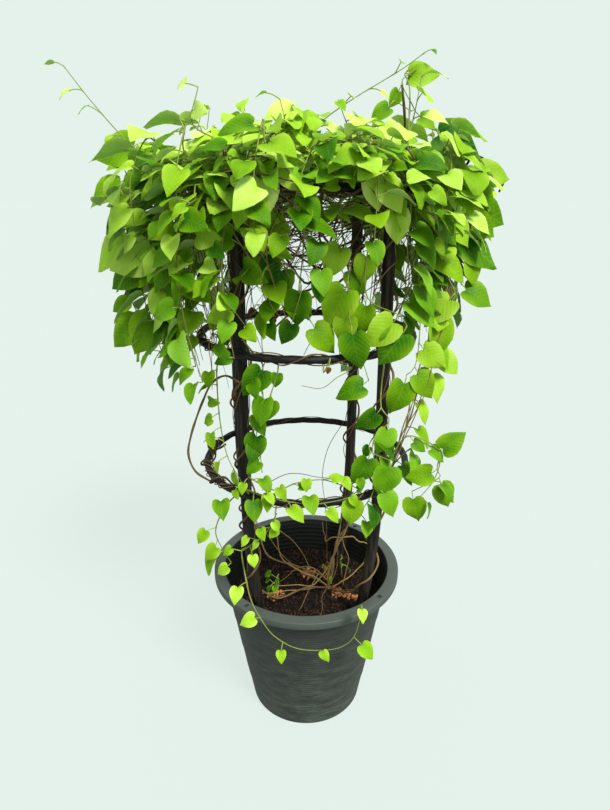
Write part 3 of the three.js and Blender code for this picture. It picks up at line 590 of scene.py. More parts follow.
crownKinds = [
    {"kind": "over", "count": 13, "from": 0, "nodes": 9, "leaf": (38, 54), "shade": "mid",
     "route": overRoute},
    {"kind": "skirt", "count": 11, "from": 10, "nodes": 8, "leaf": (38, 54), "shade": "deep",
     "route": skirtRoute},
    {"kind": "rim", "count": 9, "from": 5, "nodes": 5, "leaf": (36, 50), "shade": "light",
     "route": rimRoute},
    {"kind": "middle", "count": 4, "from": 22, "nodes": 7, "leaf": (36, 50), "shade": "light",
     "route": middleRoute},
]
mostSeeds = 1e6


def growVine():
    # the seedlings and the placed shoots, then the crown's, each tried until it finds room
    shoots = []
    for young in seedlings:
        (x, y), (leanX, leanY), high = young["foot"], young["lean"], seedling["height"]
        steps = [(0, -seedling["depth"]), (0, 2), (0.5, high / 2), (1, high)]
        points = [(x + leanX * share, y + leanY * share, soilLevel["edge"] + rise)
                  for share, rise in steps]
        shoots.append(growShoot(young["name"], points, seedling["nodes"], seedling["leaf"],
                                young["seed"], seedling["bare"]))
    shoots += [growShoot(**placed) for placed in placedShoots]
    for order, kind in enumerate(crownKinds):
        draw = drawRun(crown["firstSeed"] + order)
        for index in range(kind["count"]):
            azimuth = kind["from"] + 360 * index / kind["count"]
            for attempt in range(shoot["tries"]):
                points = kind["route"](azimuth + draw(-crown["jitter"], crown["jitter"]), draw)
                seed = math.floor(draw(1, mostSeeds))
                grown = growShoot(f"spray_{kind['kind']}_{index + 1}", points, kind["nodes"],
                                  kind["leaf"], seed, shade=kind["shade"])
                if grown:
                    shoots.append(grown)
                    break
    return [grown for grown in shoots if grown]


packedShoots = growVine()
print("vine laid out:", len(packedShoots), "shoots,",
      sum(len(grown["leaves"]) for grown in packedShoots), "leaves")


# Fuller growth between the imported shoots, which claim less room for it
looseHang = {**hang, "faceOut": (0.35, 0.15), "faceUp": (1, -0.25), "pointOut": (1, -0.1),
             "pointUp": (-0.12, -0.26), "tilt": (-0.5, 0.5), "turn": (-1.1, 1.1), "roll": (-0.8, 0.8)}
windowHang = {**hang, "faceOut": (0.95, 0), "faceUp": (0.6, 0), "pointOut": (0.3, 0),
              "pointUp": (-0.85, 0), "tilt": (-0.5, 0.5), "turn": (-1.1, 1.1), "roll": (-0.7, 0.7)}
looseRoom = {"packed": 0.9, "tries": 12,
             "manner": {"bladeBall": 1.2, "stemBall": 0.3, "among": carrierBalls}}
gaps = [{"azimuth": 285, "half": 42, "hem": 838}, {"azimuth": 88, "half": 46, "hem": 820}]
packedRadii = taken["radii"][carrierBalls:taken["count"]]
packedRadii[:] = np.minimum(packedRadii, looseRoom["packed"])


def inGap(azimuth):
    return any(abs((azimuth - gap["azimuth"] + 180) % 360 - 180) < gap["half"] for gap in gaps)


def looseHem(azimuth):
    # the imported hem, raised over the gaps at the front and the back where the tangle shows
    return max(hemHeight(azimuth), gaps[0]["hem"]) if inGap(azimuth) else hemHeight(azimuth)


def roofRoute(azimuth, draw):
    high = draw(850, 896)
    return [*fromHoop(topHoop, azimuth, 120), polar(128, azimuth + 5, high - 6),
            polar(draw(76, 100), azimuth + draw(4, 26), high + 6),
            polar(draw(20, 60), azimuth + draw(0, 70), high)]


def mantleRoute(azimuth, draw):
    # out over the edge between the longer shoots, at any depth of the crown, and lower at the left
    swing = draw(-22, 22)
    reach = draw(166, 222) + extraReach(azimuth) * 0.8
    crest = draw(840, 890) + 24 * min(0, math.cos(math.radians(azimuth)))
    tip = max(crest - draw(70, 100), looseHem(azimuth))
    return [*fromHoop(topHoop, azimuth, 60), polar(168, azimuth, draw(840, 862)),
            polar(reach - 18, azimuth + swing, crest),
            polar(reach, azimuth + 1.5 * swing, (crest + tip) / 2 + 6),
            polar(reach + 4, azimuth + 2 * swing, tip)]


def edgeRoute(azimuth, draw):
    # straight out at the two sides, where the crown is widest: one half between -60 and 0 degrees,
    # the other between 180 and 240
    side = azimuth / 3 - 60 if azimuth < 180 else azimuth / 3 + 120
    reach, high = draw(212, 236) + crown["x"] * math.cos(math.radians(side)), draw(770, 850)
    return [*fromHoop(topHoop, side, draw(-60, 60)), polar(176, side, (high + topHoop) / 2),
            polar(reach, side + draw(-8, 8), high)]


def coreRoute(azimuth, draw):
    # round the top hoop, inside the crown
    swing = draw(6, 30)
    return [*fromHoop(topHoop, azimuth, 60),
            polar(draw(162, 176), azimuth + 0.3 * swing, draw(842, 858)),
            polar(draw(168, 192), azimuth + 0.7 * swing, draw(826, 860)),
            polar(draw(168, 200), azimuth + swing, draw(796, 846))]


def fringeRoute(azimuth, draw):
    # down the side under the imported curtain, or just over the edge where the hem is high
    swing = draw(-14, 14)
    reach = draw(164, 208) + extraReach(azimuth) * 0.9
    foot = looseHem(azimuth) + draw(-6, 60)
    if foot > 780:
        return [*fromHoop(topHoop, azimuth, 60), polar(160, azimuth, 850),
                polar(188, azimuth + swing, 840)]
    return [*fromHoop(topHoop, azimuth, 0 if draw(0, 1) < 0.5 else -60),
            polar(176, azimuth, draw(806, 824)), polar(reach, azimuth + swing, draw(764, 784)),
            polar(reach, azimuth + 1.4 * swing, (764 + foot) / 2),
            polar(reach - 14, azimuth + 1.7 * swing, foot)]


def curtainRoute(azimuth, draw):
    # inside and round the frame, from the top hoop down to the middle one
    reach = draw(104, 172)
    foot = 806 if inGap(azimuth) else draw(646, 720)
    return [*fromHoop(topHoop, azimuth, -120 if reach < 146 else -60),
            polar(reach, azimuth + draw(-4, 4), 796),
            polar(reach - 6, azimuth + draw(-12, 12), (790 + foot) / 2),
            polar(reach - draw(0, 26), azimuth + draw(-16, 16), foot)]


def sideRoute(azimuth, draw):
    # long hanging shoots at the two sides
    swing = draw(-10, 10)
    reach = draw(156, 204) + extraReach(azimuth) * 0.8
    foot = hemHeight(azimuth) + draw(-6, 62)
    return [*fromHoop(topHoop, azimuth, 0), polar(178, azimuth, draw(796, 816)),
            polar(reach, azimuth + swing, 740),
            polar(reach - 4, azimuth + 1.5 * swing, (740 + foot) / 2),
            polar(reach - 22, azimuth + 2 * swing, foot)]


def veilRoute(azimuth, draw):
    # over the top hoop and down in front of it and of the nest
    swing = draw(-10, 10)
    reach, foot = draw(158, 186), draw(828, 846)
    return [*fromHoop(topHoop, azimuth, 60), polar(160, azimuth, draw(842, 856)),
            polar(reach, azimuth + swing, 842), polar(reach + 4, azimuth + 1.4 * swing, foot)]


def sproutRoute(azimuth, draw):
    # short shoots that stand up out of the crown
    reach, top = draw(60, 190), draw(906, 930)
    return [*fromHoop(topHoop, azimuth, 120), polar((reach + 130) / 2, azimuth + draw(-6, 6), 872),
            polar(reach, azimuth + draw(-10, 10), 892),
            polar(reach * 0.96, azimuth + draw(-12, 12), top)]


looseKinds = [
    {"kind": "edge", "count": 14, "nodes": 6, "leaf": (30, 46), "shade": "mid", "span": (0, 360),
     "route": edgeRoute},
    {"kind": "left_side", "count": 15, "nodes": 9, "leaf": (30, 46), "shade": "mid",
     "span": (160, 250), "route": sideRoute},
    {"kind": "right_side", "count": 9, "nodes": 8, "leaf": (30, 46), "shade": "mid", "span": (-34, 30),
     "route": sideRoute},
    {"kind": "veil", "count": 8, "nodes": 5, "leaf": (30, 44), "shade": "mid", "span": (228, 324),
     "route": veilRoute},
    {"kind": "roof", "count": 34, "nodes": 6, "leaf": (28, 43), "shade": "light", "span": (0, 360),
     "route": roofRoute},
    {"kind": "sprout", "count": 10, "nodes": 5, "leaf": (14, 34), "shade": "light", "span": (0, 360),
     "route": sproutRoute},
    {"kind": "fringe", "count": 20, "nodes": 8, "leaf": (30, 46), "shade": "deep", "span": (0, 360),
     "route": fringeRoute},
    {"kind": "curtain", "count": 12, "nodes": 6, "leaf": (30, 46), "shade": "mid", "span": (0, 360),
     "route": curtainRoute},
    {"kind": "mantle", "count": 38, "nodes": 7, "leaf": (30, 45), "shade": "mid", "span": (0, 360),
     "route": mantleRoute},
    {"kind": "core", "count": 22, "nodes": 6, "leaf": (30, 46), "shade": "deep", "span": (0, 360),
     "route": coreRoute},
]
looseSeed = 200


def growLoose():
    grown = {}
    for order, kind in enumerate(looseKinds):
        draw = drawRun(looseSeed + order)
        start, end = kind["span"]
        step = (end - start) / kind["count"]
        for index in range(kind["count"]):
            for attempt in range(looseRoom["tries"]):
                azimuth = start + step * (index + draw(0, 1))
                points = kind["route"](azimuth, draw)
                seed = math.floor(draw(1, mostSeeds))
                made = growShoot(kind["kind"], points, kind["nodes"], kind["leaf"], seed,
                                 shade=kind["shade"], hang=looseHang, **looseRoom["manner"])
                if made:
                    grown.setdefault(kind["kind"], []).append(made)
                    break
    return grown


# Smaller shoots that stand out in the view from the front
accents = [
    {"name": "left_stem", "nodes": 9, "bare": 1, "leaf": (16, 30), "shade": "mid",
     "points": [*fromHoop(middleHoop, 222, -60), (-114, -110, 600), (-114, -104, 540),
                (-106, -108, 490), (-86, -126, 462)]},
    {"name": "low_ring", "nodes": 10, "bare": 1, "leaf": (18, 30), "shade": "mid",
     "points": [*fromPost(frontLeft, 470, 60), (-70, -148, 478), (-40, -156, 466), (-12, -158, 478),
                (20, -158, 482), (50, -150, 470), (72, -140, 478)]},
    {"name": "under_ring", "nodes": 7, "bare": 1, "leaf": (18, 30), "shade": "light",
     "points": [*fromHoop(lowHoop, 254, -60), (-40, -146, 425), (-52, -144, 400), (-66, -142, 384),
                (-88, -140, 366)]},
    {"name": "soil_near", "nodes": 4, "bare": 2, "leaf": (20, 28), "shade": "deep",
     "points": [(-56, -14, 190), (-56, -14, 200), (-52, -18, 214), (-48, -22, 228)]},
    {"name": "soil_far", "nodes": 4, "bare": 2, "leaf": (13, 18), "shade": "light",
     "points": [(30, 14, 190), (30, 14, 200), (32, 10, 216), (34, 6, 232)]},
]
accentRoom = {"seed": 400, "tries": 20, "drift": 7}


def growAccents():
    # each is moved a little further from its place until it touches nothing
    grown = []
    for order, look in enumerate(accents):
        draw = drawRun(accentRoom["seed"] + order)
        for attempt in range(accentRoom["tries"]):
            drift = accentRoom["drift"] * attempt / accentRoom["tries"] + 1
            moved = [np.array(point) + [draw(-drift, drift) for axis in range(3)]
                     for point in look["points"][2:]]
            seed = math.floor(draw(1, mostSeeds))
            made = growShoot(**{**look, "points": [*look["points"][:2], *moved]}, seed=seed,
                             hang=windowHang, **looseRoom["manner"])
            if made:
                grown.append(made)
                break
    return grown


# Leaves that show one by one, on thin stems that hang from the frame. Each row holds a name, a
# shade, the stem's first points and the leaves. A leaf has its foot, the way that it points as
# seen from the front, in degrees, its length and its tone.
pendants = [
    ("window_left", "deep", [*fromHoop(topHoop, 248, -100), (-54, -124, 775)],
     [(-47, -124, 753, -83, 37, 0.35), (-30, -132, 738, -109, 42, 0.25),
      (-8, -138, 712, -100, 39, 0.4), (-18, -150, 679, -117, 27, 0.2)]),
    ("window_middle", "mid", [*fromHoop(topHoop, 288, -100), (42, -110, 775)],
     [(39, -118, 762, -118, 38, 0.75), (53, -124, 736, -61, 30, 0.3), (44, -140, 716, -117, 50, 0.6),
      (47, -146, 686, -104, 34, 0.6), (53, -158, 667, -78, 42, 0.25),
      (67, -150, 604, -163, 35, 0.25)]),
    ("window_low", "mid", [*fromHoop(topHoop, 268, -120), (-6, -100, 740)],
     [(-5, -110, 697, -58, 23, 0.3), (10, -146, 671, -47, 38, 0.5)]),
    ("window_right", "mid", [*fromHoop(topHoop, 300, -100), (75, -115, 773)],
     [(69, -130, 753, -98, 32, 0.6), (69, -138, 697, -100, 34, 0.55),
      (99, -156, 682, -142, 42, 0.74), (110, -160, 669, -127, 44, 0.2)]),
    ("right_pair", "mid", [*fromHoop(topHoop, 326, -60), (140, -96, 698)],
     [(146, -112, 639, -35, 38, 0.75), (140, -118, 608, -51, 38, 0.45),
      (122, -124, 598, -107, 44, 0.4)]),
    ("right_front", "deep", [*fromHoop(middleHoop, 310, -60), (94, -122, 596)],
     [(87, -136, 562, -139, 32, 0.25), (101, -140, 542, -104, 36, 0.75),
      (79, -140, 519, -121, 16, 0.15), (77, -150, 506, -113, 40, 0.4),
      (105, -152, 494, -103, 42, 0.6)]),
    ("arch", "mid", [*fromPost(frontRight, 474, -20), (110, -138, 508)],
     [(134, -150, 530, -32, 20, 0.35), (170, -152, 522, 41, 34, 0.4),
      (158, -150, 487, -169, 33, 0.5), (172, -152, 470, -65, 34, 0.4),
      (138, -150, 449, -76, 35, 0.5)]),
    ("under_right", "mid", [*fromHoop(lowHoop, 296, 60)],
     [(57, -160, 449, -94, 34, 0.6)]),
    ("left_inner", "deep", [*fromPost(frontLeft, 652, 60), (-62, -130, 636)],
     [(-55, -140, 620, -124, 40, 0.3), (-36, -142, 616, -99, 18, 0.45),
      (-45, -144, 581, -102, 28, 0.5), (-65, -140, 534, -105, 34, 0.3)]),
    ("left_edge_high", "mid", [*fromHoop(topHoop, 196, 60), (-176, -50, 858)],
     [(-192, -40, 870, -157, 30, 0.6), (-218, -20, 876, -168, 50, 0.5)]),
    ("left_edge", "mid", [*fromHoop(topHoop, 200, 0), (-180, -60, 838)],
     [(-198, -50, 840, -155, 42, 0.35), (-238, -30, 831, -157, 47, 0.5),
      (-213, -40, 807, -153, 46, 0.3), (-230, -50, 763, -146, 54, 0.8),
      (-193, -80, 754, -160, 55, 0.9), (-219, -60, 730, -147, 41, 0.3)]),
    ("left_edge_low", "mid", [*fromHoop(middleHoop, 204, 0), (-176, -70, 690)],
     [(-233, -60, 690, -151, 25, 0.5), (-224, -60, 663, -139, 48, 0.45),
      (-201, -70, 668, -121, 55, 0.55)]),
    ("right_edge_high", "deep", [*fromHoop(topHoop, 346, 60), (158, -20, 880)],
     [(168, -16, 892, -22, 60, 0.15), (200, -40, 826, -36, 48, 0.6)]),
    ("right_edge", "mid", [*fromHoop(topHoop, 342, 0), (178, -40, 838)],
     [(219, -10, 846, -6, 44, 0.75), (209, -30, 807, -23, 52, 0.35), (203, -50, 793, -32, 42, 0.5),
      (200, -50, 763, -26, 56, 0.25), (208, -60, 740, -67, 33, 0.6), (206, -60, 705, -25, 41, 0.4)]),
    ("right_hanging", "mid", [*fromHoop(topHoop, 334, -20), (158, -76, 770)],
     [(160, -80, 747, -29, 47, 0.6), (176, -100, 698, -141, 43, 0.8),
      (166, -100, 671, -80, 46, 0.55), (172, -90, 625, -39, 35, 0.8)]),
    ("pale_front", "light", [*fromHoop(topHoop, 292, 60), (60, -160, 850)],
     [(68, -164, 837, -70, 34, 0.9), (82, -168, 831, -53, 34, 0.85),
      (96, -156, 803, -82, 34, 0.85)]),
    ("pale_middle", "light", [*fromHoop(topHoop, 264, 60), (-30, -168, 856)],
     [(-23, -168, 850, -43, 40, 0.8), (-47, -176, 835, -81, 40, 0.95)]),
    ("top_right", "mid", [*fromHoop(topHoop, 312, 60), (118, -70, 930)],
     [(127, -20, 956, 6, 34, 0.7), (128, -20, 954, -140, 16, 0.6), (109, -40, 936, -118, 20, 0.5),
      (137, -40, 908, -26, 22, 0.6), (95, -60, 916, -150, 24, 0.4)]),
    ("dry_front", "dry", [*fromHoop(middleHoop, 280, -60)],
     [(26, -156, 628, -100, 8, 0.5)]),
    ("dry_left", "dry", [*fromHoop(middleHoop, 115, 0), (-70, 118, 646)],
     [(-62, 116, 640, -20, 16, 0.3), (-82, 110, 644, -150, 14, 0.5),
      (-54, 112, 634, -100, 14, 0.1)]),
]
pendantRoom = {"seed": 500, "tries": 24, "drift": 11, "stalk": 8, "spring": 4, "lean": -0.15,
               "aside": 0.55, "faceUp": (0.15, 0.8), "ball": 0.8, "deepen": 1.8}


def hungLeaf(place, point, size, tone, draw):
    # the blade faces the front and a little up, and its stalk comes from behind its foot
    foot = np.array(place, float)
    angle = math.radians(point)
    along = unit(np.array([math.cos(angle), pendantRoom["lean"], math.sin(angle)]))
    sideways = draw(-pendantRoom["aside"], pendantRoom["aside"])
    normal = np.array([sideways, -1, draw(*pendantRoom["faceUp"])])
    normal = unit(normal - along * (along @ normal))
    at = foot - along * pendantRoom["stalk"] + upward * pendantRoom["spring"]
    return {"at": at, "foot": foot, "along": along, "across": np.cross(along, normal),
            "normal": normal, "size": size, "tone": tone ** pendantRoom["deepen"]}


def growPendants():
    # a leaf is moved a little further from its place until it touches nothing
    grown = []
    for order, (name, shade, start, wanted) in enumerate(pendants):
        draw = drawRun(pendantRoom["seed"] + order)
        leaves = []
        for x, y, z, point, size, tone in wanted:
            for attempt in range(pendantRoom["tries"]):
                drift = pendantRoom["drift"] * attempt / pendantRoom["tries"]
                place = (x + draw(-drift, drift), y + draw(-drift, drift), z + draw(-drift, drift))
                leaf = hungLeaf(place, point + draw(-drift, drift), size, tone, draw)
                balls, radii = leafBalls(leaf, pendantRoom["ball"])
                if isClear(balls, radii):
                    take(balls, radii)
                    leaves.append(leaf)
                    break
        points = np.array([*start, *(leaf["at"] for leaf in leaves)], float)
        grown.append({"name": name, "shade": shade, "points": points, "leaves": leaves,
                      "seed": pendantRoom["seed"] + order, "nodes": len(points) - 1})
    return grown


pendantShoots = growPendants()
print("single leaves laid out:", {grown["name"]: len(grown["leaves"]) for grown in pendantShoots})
accentShoots = growAccents()
print("smaller shoots laid out:", [grown["name"] for grown in accentShoots])
looseShoots = growLoose()
print("fuller growth laid out:", {kind: (len(made), sum(len(s["leaves"]) for s in made))
                                  for kind, made in looseShoots.items()})


# Materials

def colourOf(code):
    # a display colour as linear light: the standard screen curve undone
    def linear(share):
        return share / 12.92 if share < 0.04045 else ((share + 0.055) / 1.055) ** 2.4

    return (*(linear(int(code[place:place + 2], 16) / 255) for place in (0, 2, 4)), 1.0)


def feed(tree, value, socket):
    if isinstance(value, bpy.types.NodeSocket):
        tree.links.new(value, socket)
    else:
        socket.default_value = value


def addNode(tree, kind, values=(), **settings):
    made = tree.nodes.new(kind)
    for label, value in settings.items():
        setattr(made, label, value)
    for label, value in dict(values).items():
        feed(tree, value, made.inputs[label])
    return made


def calc(tree, operation, *values, clamp=False):
    made = addNode(tree, "ShaderNodeMath", operation=operation, use_clamp=clamp)
    for socket, value in zip(made.inputs, values):
        feed(tree, value, socket)
    return made.outputs[0]


def sumsOf(tree, *operations):
    # one function for each operation, all in one node tree
    def named(operation):
        return lambda *values, clamp=False: calc(tree, operation, *values, clamp=clamp)

    return map(named, operations)


def addNoise(tree, place, scale, detail, roughness=0.5):
    return addNode(tree, "ShaderNodeTexNoise", {"Vector": place, "Scale": scale, "Detail": detail,
                                                "Roughness": roughness}).outputs["Fac"]


def stretch(tree, place, scale):
    return addNode(tree, "ShaderNodeVectorMath", {0: place, 1: scale}, operation="MULTIPLY").outputs[0]


def lengthOf(tree, place):
    return addNode(tree, "ShaderNodeVectorMath", {0: place}, operation="LENGTH").outputs["Value"]


def blendColours(tree, share, first, second):
    made = addNode(tree, "ShaderNodeMix", data_type="RGBA")
    for socket, value in ((made.inputs[0], share), (made.inputs[6], first), (made.inputs[7], second)):
        feed(tree, value, socket)
    return made.outputs[2]


socketKinds = {"value": "NodeSocketFloat", "colour": "NodeSocketColor", "place": "NodeSocketVector"}


def newGroup(name, takes, gives):
    tree = bpy.data.node_groups.new(name, "ShaderNodeTree")
    for label, kind, start in takes:
        socket = tree.interface.new_socket(label, in_out="INPUT", socket_type=socketKinds[kind])
        socket.default_value = start
    for label, kind in gives:
        tree.interface.new_socket(label, in_out="OUTPUT", socket_type=socketKinds[kind])
    return tree, tree.nodes.new("NodeGroupInput").outputs, tree.nodes.new("NodeGroupOutput").inputs


def useGroup(tree, group, **values):
    made = addNode(tree, "ShaderNodeGroup", node_tree=group)
    for label, value in values.items():
        feed(tree, value, made.inputs[label])
    return made.outputs


veinForm = {"slant": 0.55, "curve": 0.7, "offset": 0.45, "midrib": 0.02, "side": 0.6, "swell": 0.6}


def makeVeinGroup(form):
    # Side veins leave the midrib at even steps and curve towards the tip: their phase is the
    # height minus a share of the distance from the midrib and of its square
    tree, takes, gives = newGroup("leafVeins", [("Spacing", "value", 0.15), ("Width", "value", 0.16)],
                                  [("Veins", "value"), ("Swell", "value")])
    add, subtract, multiply = sumsOf(tree, "ADD", "SUBTRACT", "MULTIPLY")
    divide, power = sumsOf(tree, "DIVIDE", "POWER")
    plan = addNode(tree, "ShaderNodeUVMap", uv_map="plan").outputs["UV"]
    place = addNode(tree, "ShaderNodeSeparateXYZ", {"Vector": plan}).outputs
    aside = calc(tree, "ABSOLUTE", place["X"])
    rightSide = calc(tree, "GREATER_THAN", place["X"], 0.0)
    climbing = subtract(place["Y"], multiply(aside, form["slant"]))
    climbing = subtract(climbing, multiply(power(aside, 2.0), form["curve"]))
    turns = add(divide(climbing, takes["Spacing"]), multiply(rightSide, form["offset"]))
    phase = calc(tree, "FRACT", turns)
    away = subtract(0.5, calc(tree, "ABSOLUTE", subtract(phase, 0.5)))
    side = subtract(1.0, divide(away, takes["Width"]), clamp=True)
    midrib = subtract(1.0, divide(aside, form["midrib"]), clamp=True)
    tree.links.new(calc(tree, "MAXIMUM", midrib, multiply(side, form["side"])), gives["Veins"])
    swell = multiply(power(multiply(away, 2.0), form["swell"]), subtract(1.0, midrib))
    tree.links.new(swell, gives["Swell"])
    return tree


# In the tint, the rim share is painted light on the blade's rim, the foot share painted shade at its
# foot, and the share that pales the highest tones a painted sheen
tintForm = {"noise": (55.0, 3.0), "rim": 0.22, "foot": 0.16, "footShadeEnds": 3.0, "paleAndSheen": 0.5,
            "below": 0.6, "palest": 0.8, "veins": 0.13, "gloss": 0.38, "belowGloss": 0.22,
            "unevenGloss": 0.25}


def makeTintGroup(form):
    # From the dark to the bright green by tone, with painted light brighter at the rim and painted
    # shade darker at the foot, paler on veins and on the underside, with a painted sheen paler at
    # the highest tones, and patchy
    tree, takes, gives = newGroup("leafTint", [
        ("Dark", "colour", colourOf("2f6b10")), ("Bright", "colour", colourOf("8fca2c")),
        ("Vein", "colour", colourOf("b8dc70")), ("BelowAndSheen", "colour", colourOf("a9cf7a")),
        ("Tone", "value", 0.5), ("Under", "value", 0.0), ("Veins", "value", 0.0),
        ("Patches", "value", 0.3),
    ], [("Colour", "colour"), ("Gloss", "value")])
    add, subtract, multiply, power = sumsOf(tree, "ADD", "SUBTRACT", "MULTIPLY", "POWER")
    noise = addNoise(tree, addNode(tree, "ShaderNodeTexCoord").outputs["Object"], *form["noise"])
    plan = addNode(tree, "ShaderNodeUVMap", uv_map="plan").outputs["UV"]
    place = addNode(tree, "ShaderNodeSeparateXYZ", {"Vector": plan}).outputs
    # painted light, brighter towards the blade's rim
    rimLight = power(multiply(calc(tree, "ABSOLUTE", place["X"]), 2.0), 3.0)
    # painted shade, darker at the blade's foot
    footShade = subtract(1.0, multiply(lengthOf(tree, plan), form["footShadeEnds"]), clamp=True)
    patch = multiply(subtract(noise, 0.5), takes["Patches"])
    patch = subtract(add(patch, multiply(rimLight, form["rim"])), multiply(footShade, form["foot"]))
    tone = add(takes["Tone"], patch, clamp=True)
    colour = blendColours(tree, tone, takes["Dark"], takes["Bright"])
    below = multiply(takes["Under"], form["below"])
    # paler on the underside, which is real, and a painted sheen at the highest tones
    paleAndSheen = calc(tree, "MULTIPLY_ADD", power(tone, 4.0), form["paleAndSheen"], below)
    colour = blendColours(tree, calc(tree, "MINIMUM", paleAndSheen, form["palest"]), colour, takes["BelowAndSheen"])
    colour = blendColours(tree, multiply(takes["Veins"], form["veins"]), colour, takes["Vein"])
    tree.links.new(colour, gives["Colour"])
    gloss = add(multiply(takes["Under"], form["belowGloss"]), multiply(noise, form["unevenGloss"]))
    tree.links.new(add(gloss, form["gloss"]), gives["Gloss"])
    return tree


streakForm = {"fine": (1.0, 6.0, 0.62), "cloud": (14.0, 2.0), "from": 0.42, "contrast": 3.2,
              "wornMatte": 0.3}


def makeStreakGroup(form):
    # Noise stretched by the scales of x, y and z, between a base colour and a worn one
    tree, takes, gives = newGroup("streaks", [
        ("Base", "colour", colourOf("3a403c")), ("Worn", "colour", colourOf("7a827b")),
        ("Place", "place", (0, 0, 0)), ("Scale", "place", (10, 10, 10)), ("Amount", "value", 0.5),
        ("Matte", "value", 0.6),
    ], [("Colour", "colour"), ("Roughness", "value"), ("Height", "value")])
    add, subtract, multiply = sumsOf(tree, "ADD", "SUBTRACT", "MULTIPLY")
    noise = addNoise(tree, stretch(tree, takes["Place"], takes["Scale"]), *form["fine"])
    cloud = addNoise(tree, takes["Place"], *form["cloud"])
    worn = multiply(subtract(noise, form["from"]), form["contrast"], clamp=True)
    worn = multiply(multiply(worn, cloud), takes["Amount"], clamp=True)
    tree.links.new(blendColours(tree, worn, takes["Base"], takes["Worn"]), gives["Colour"])
    tree.links.new(add(takes["Matte"], multiply(worn, form["wornMatte"])), gives["Roughness"])
    tree.links.new(noise, gives["Height"])
    return tree


veinGroup = makeVeinGroup(veinForm)
tintGroup = makeTintGroup(tintForm)
streakGroup = makeStreakGroup(streakForm)


def newFinish(name, **settings):
    finish = bpy.data.materials.new(name)
    finish.use_nodes = True
    shader = finish.node_tree.nodes["Principled BSDF"]
    for label, value in settings.items():
        shader.inputs[label.replace("_", " ")].default_value = value
    return finish, finish.node_tree, shader


def addBump(tree, shader, height, strength, distance):
    bump = addNode(tree, "ShaderNodeBump", {"Height": height, "Strength": strength,
                                            "Distance": distance})
    tree.links.new(bump.outputs["Normal"], shader.inputs["Normal"])


def readMark(tree, label):
    return addNode(tree, "ShaderNodeAttribute", attribute_name=label).outputs["Fac"]


leafBump = {"strength": 0.35, "distance": 0.0005}
# Lit and shaded copies of one leaf look: light, mid and deep are partly painted light on the shoots at
# the crown's top and painted shade on those inside and under it, partly the real paler green of young
# leaves. dry is the real brown of dead leaves.
leafLooks = {
    "light": {"Dark": "4a8c00", "Bright": "b8e01c", "Vein": "dcee60", "BelowAndSheen": "d8e8a2"},
    "mid": {"Dark": "2c6800", "Bright": "aad60a", "Vein": "c2e04c", "BelowAndSheen": "cae294"},
    "deep": {"Dark": "184e00", "Bright": "86c202", "Vein": "9ccc38", "BelowAndSheen": "acd07a"},
    "dry": {"Dark": "3c1a0c", "Bright": "b87a3e", "Vein": "7a4a22", "BelowAndSheen": "cfa070"},
}


def makeLeafFinish(name, look):
    finish, tree, shader = newFinish(name, Subsurface_Weight=0.2, Subsurface_Scale=0.0015,
                                     Subsurface_Radius=(0.5, 1.0, 0.1), Specular_IOR_Level=0.1)
    veins = useGroup(tree, veinGroup)
    tint = useGroup(tree, tintGroup, Tone=readMark(tree, "tone"), Under=readMark(tree, "under"),
                    Veins=veins["Veins"], **{label: colourOf(code) for label, code in look.items()})
    tree.links.new(tint["Colour"], shader.inputs["Base Color"])
    tree.links.new(tint["Gloss"], shader.inputs["Roughness"])
    addBump(tree, shader, veins["Swell"], **leafBump)
    return finish


def makeStreakedFinish(name, look):
    # place is Object for a pattern in the plant's own space, or UV for one along a stem
    finish, tree, shader = newFinish(name, Specular_IOR_Level=look["specular"])
    place = addNode(tree, "ShaderNodeTexCoord").outputs[look["place"]]
    base, worn = colourOf(look["base"]), colourOf(look["worn"])
    if "bright" in look:
        tone = readMark(tree, "tone")
        base = blendColours(tree, tone, base, colourOf(look["bright"]))
    streaks = useGroup(tree, streakGroup, Base=base, Worn=worn, Place=place, Scale=look["scale"],
                       Amount=look["amount"], Matte=look["matte"])
    tree.links.new(streaks["Colour"], shader.inputs["Base Color"])
    tree.links.new(streaks["Roughness"], shader.inputs["Roughness"])
    addBump(tree, shader, streaks["Height"], look["bump"], look["deep"])
    return finish


streakedLooks = {
    "post": {"base": "12100f", "worn": "6a5848", "place": "Object", "scale": (260, 260, 12),
             "amount": 0.75, "matte": 0.55, "specular": 0.25, "bump": 0.5, "deep": 0.0005},
    "hoop": {"base": "0c0c0d", "worn": "54463a", "place": "Object", "scale": (60, 60, 300),
             "amount": 0.5, "matte": 0.55, "specular": 0.25, "bump": 0.6, "deep": 0.0008},
    "bark": {"base": "1d130c", "bright": "a8854e", "worn": "9c835c", "place": "UV",
             "scale": (9, 1.4, 1), "amount": 0.6, "matte": 0.75, "specular": 0.3, "bump": 0.6,
             "deep": 0.0005},
    "shoot": {"base": "4e4a1c", "bright": "a8c24c", "worn": "8c6a3a", "place": "UV",
              "scale": (4, 1.0, 1), "amount": 0.5, "matte": 0.5, "specular": 0.4, "bump": 0.3,
              "deep": 0.0003},
    "soil": {"base": "0e0906", "worn": "2e1d13", "place": "Object", "scale": (240, 240, 240),
             "amount": 1.0, "matte": 0.9, "specular": 0.2, "bump": 1.0, "deep": 0.002},
    "chips": {"base": "0b0705", "bright": "38231a", "worn": "6a4a36", "place": "Object",
              "scale": (300, 300, 300), "amount": 0.6, "matte": 0.85, "specular": 0.25, "bump": 0.6,
              "deep": 0.0008},
    "husk": {"base": "5e2a12", "bright": "d08a4e", "worn": "e8bc86", "place": "Object",
             "scale": (400, 400, 160), "amount": 0.7, "matte": 0.8, "specular": 0.3, "bump": 0.8,
             "deep": 0.0008},
}
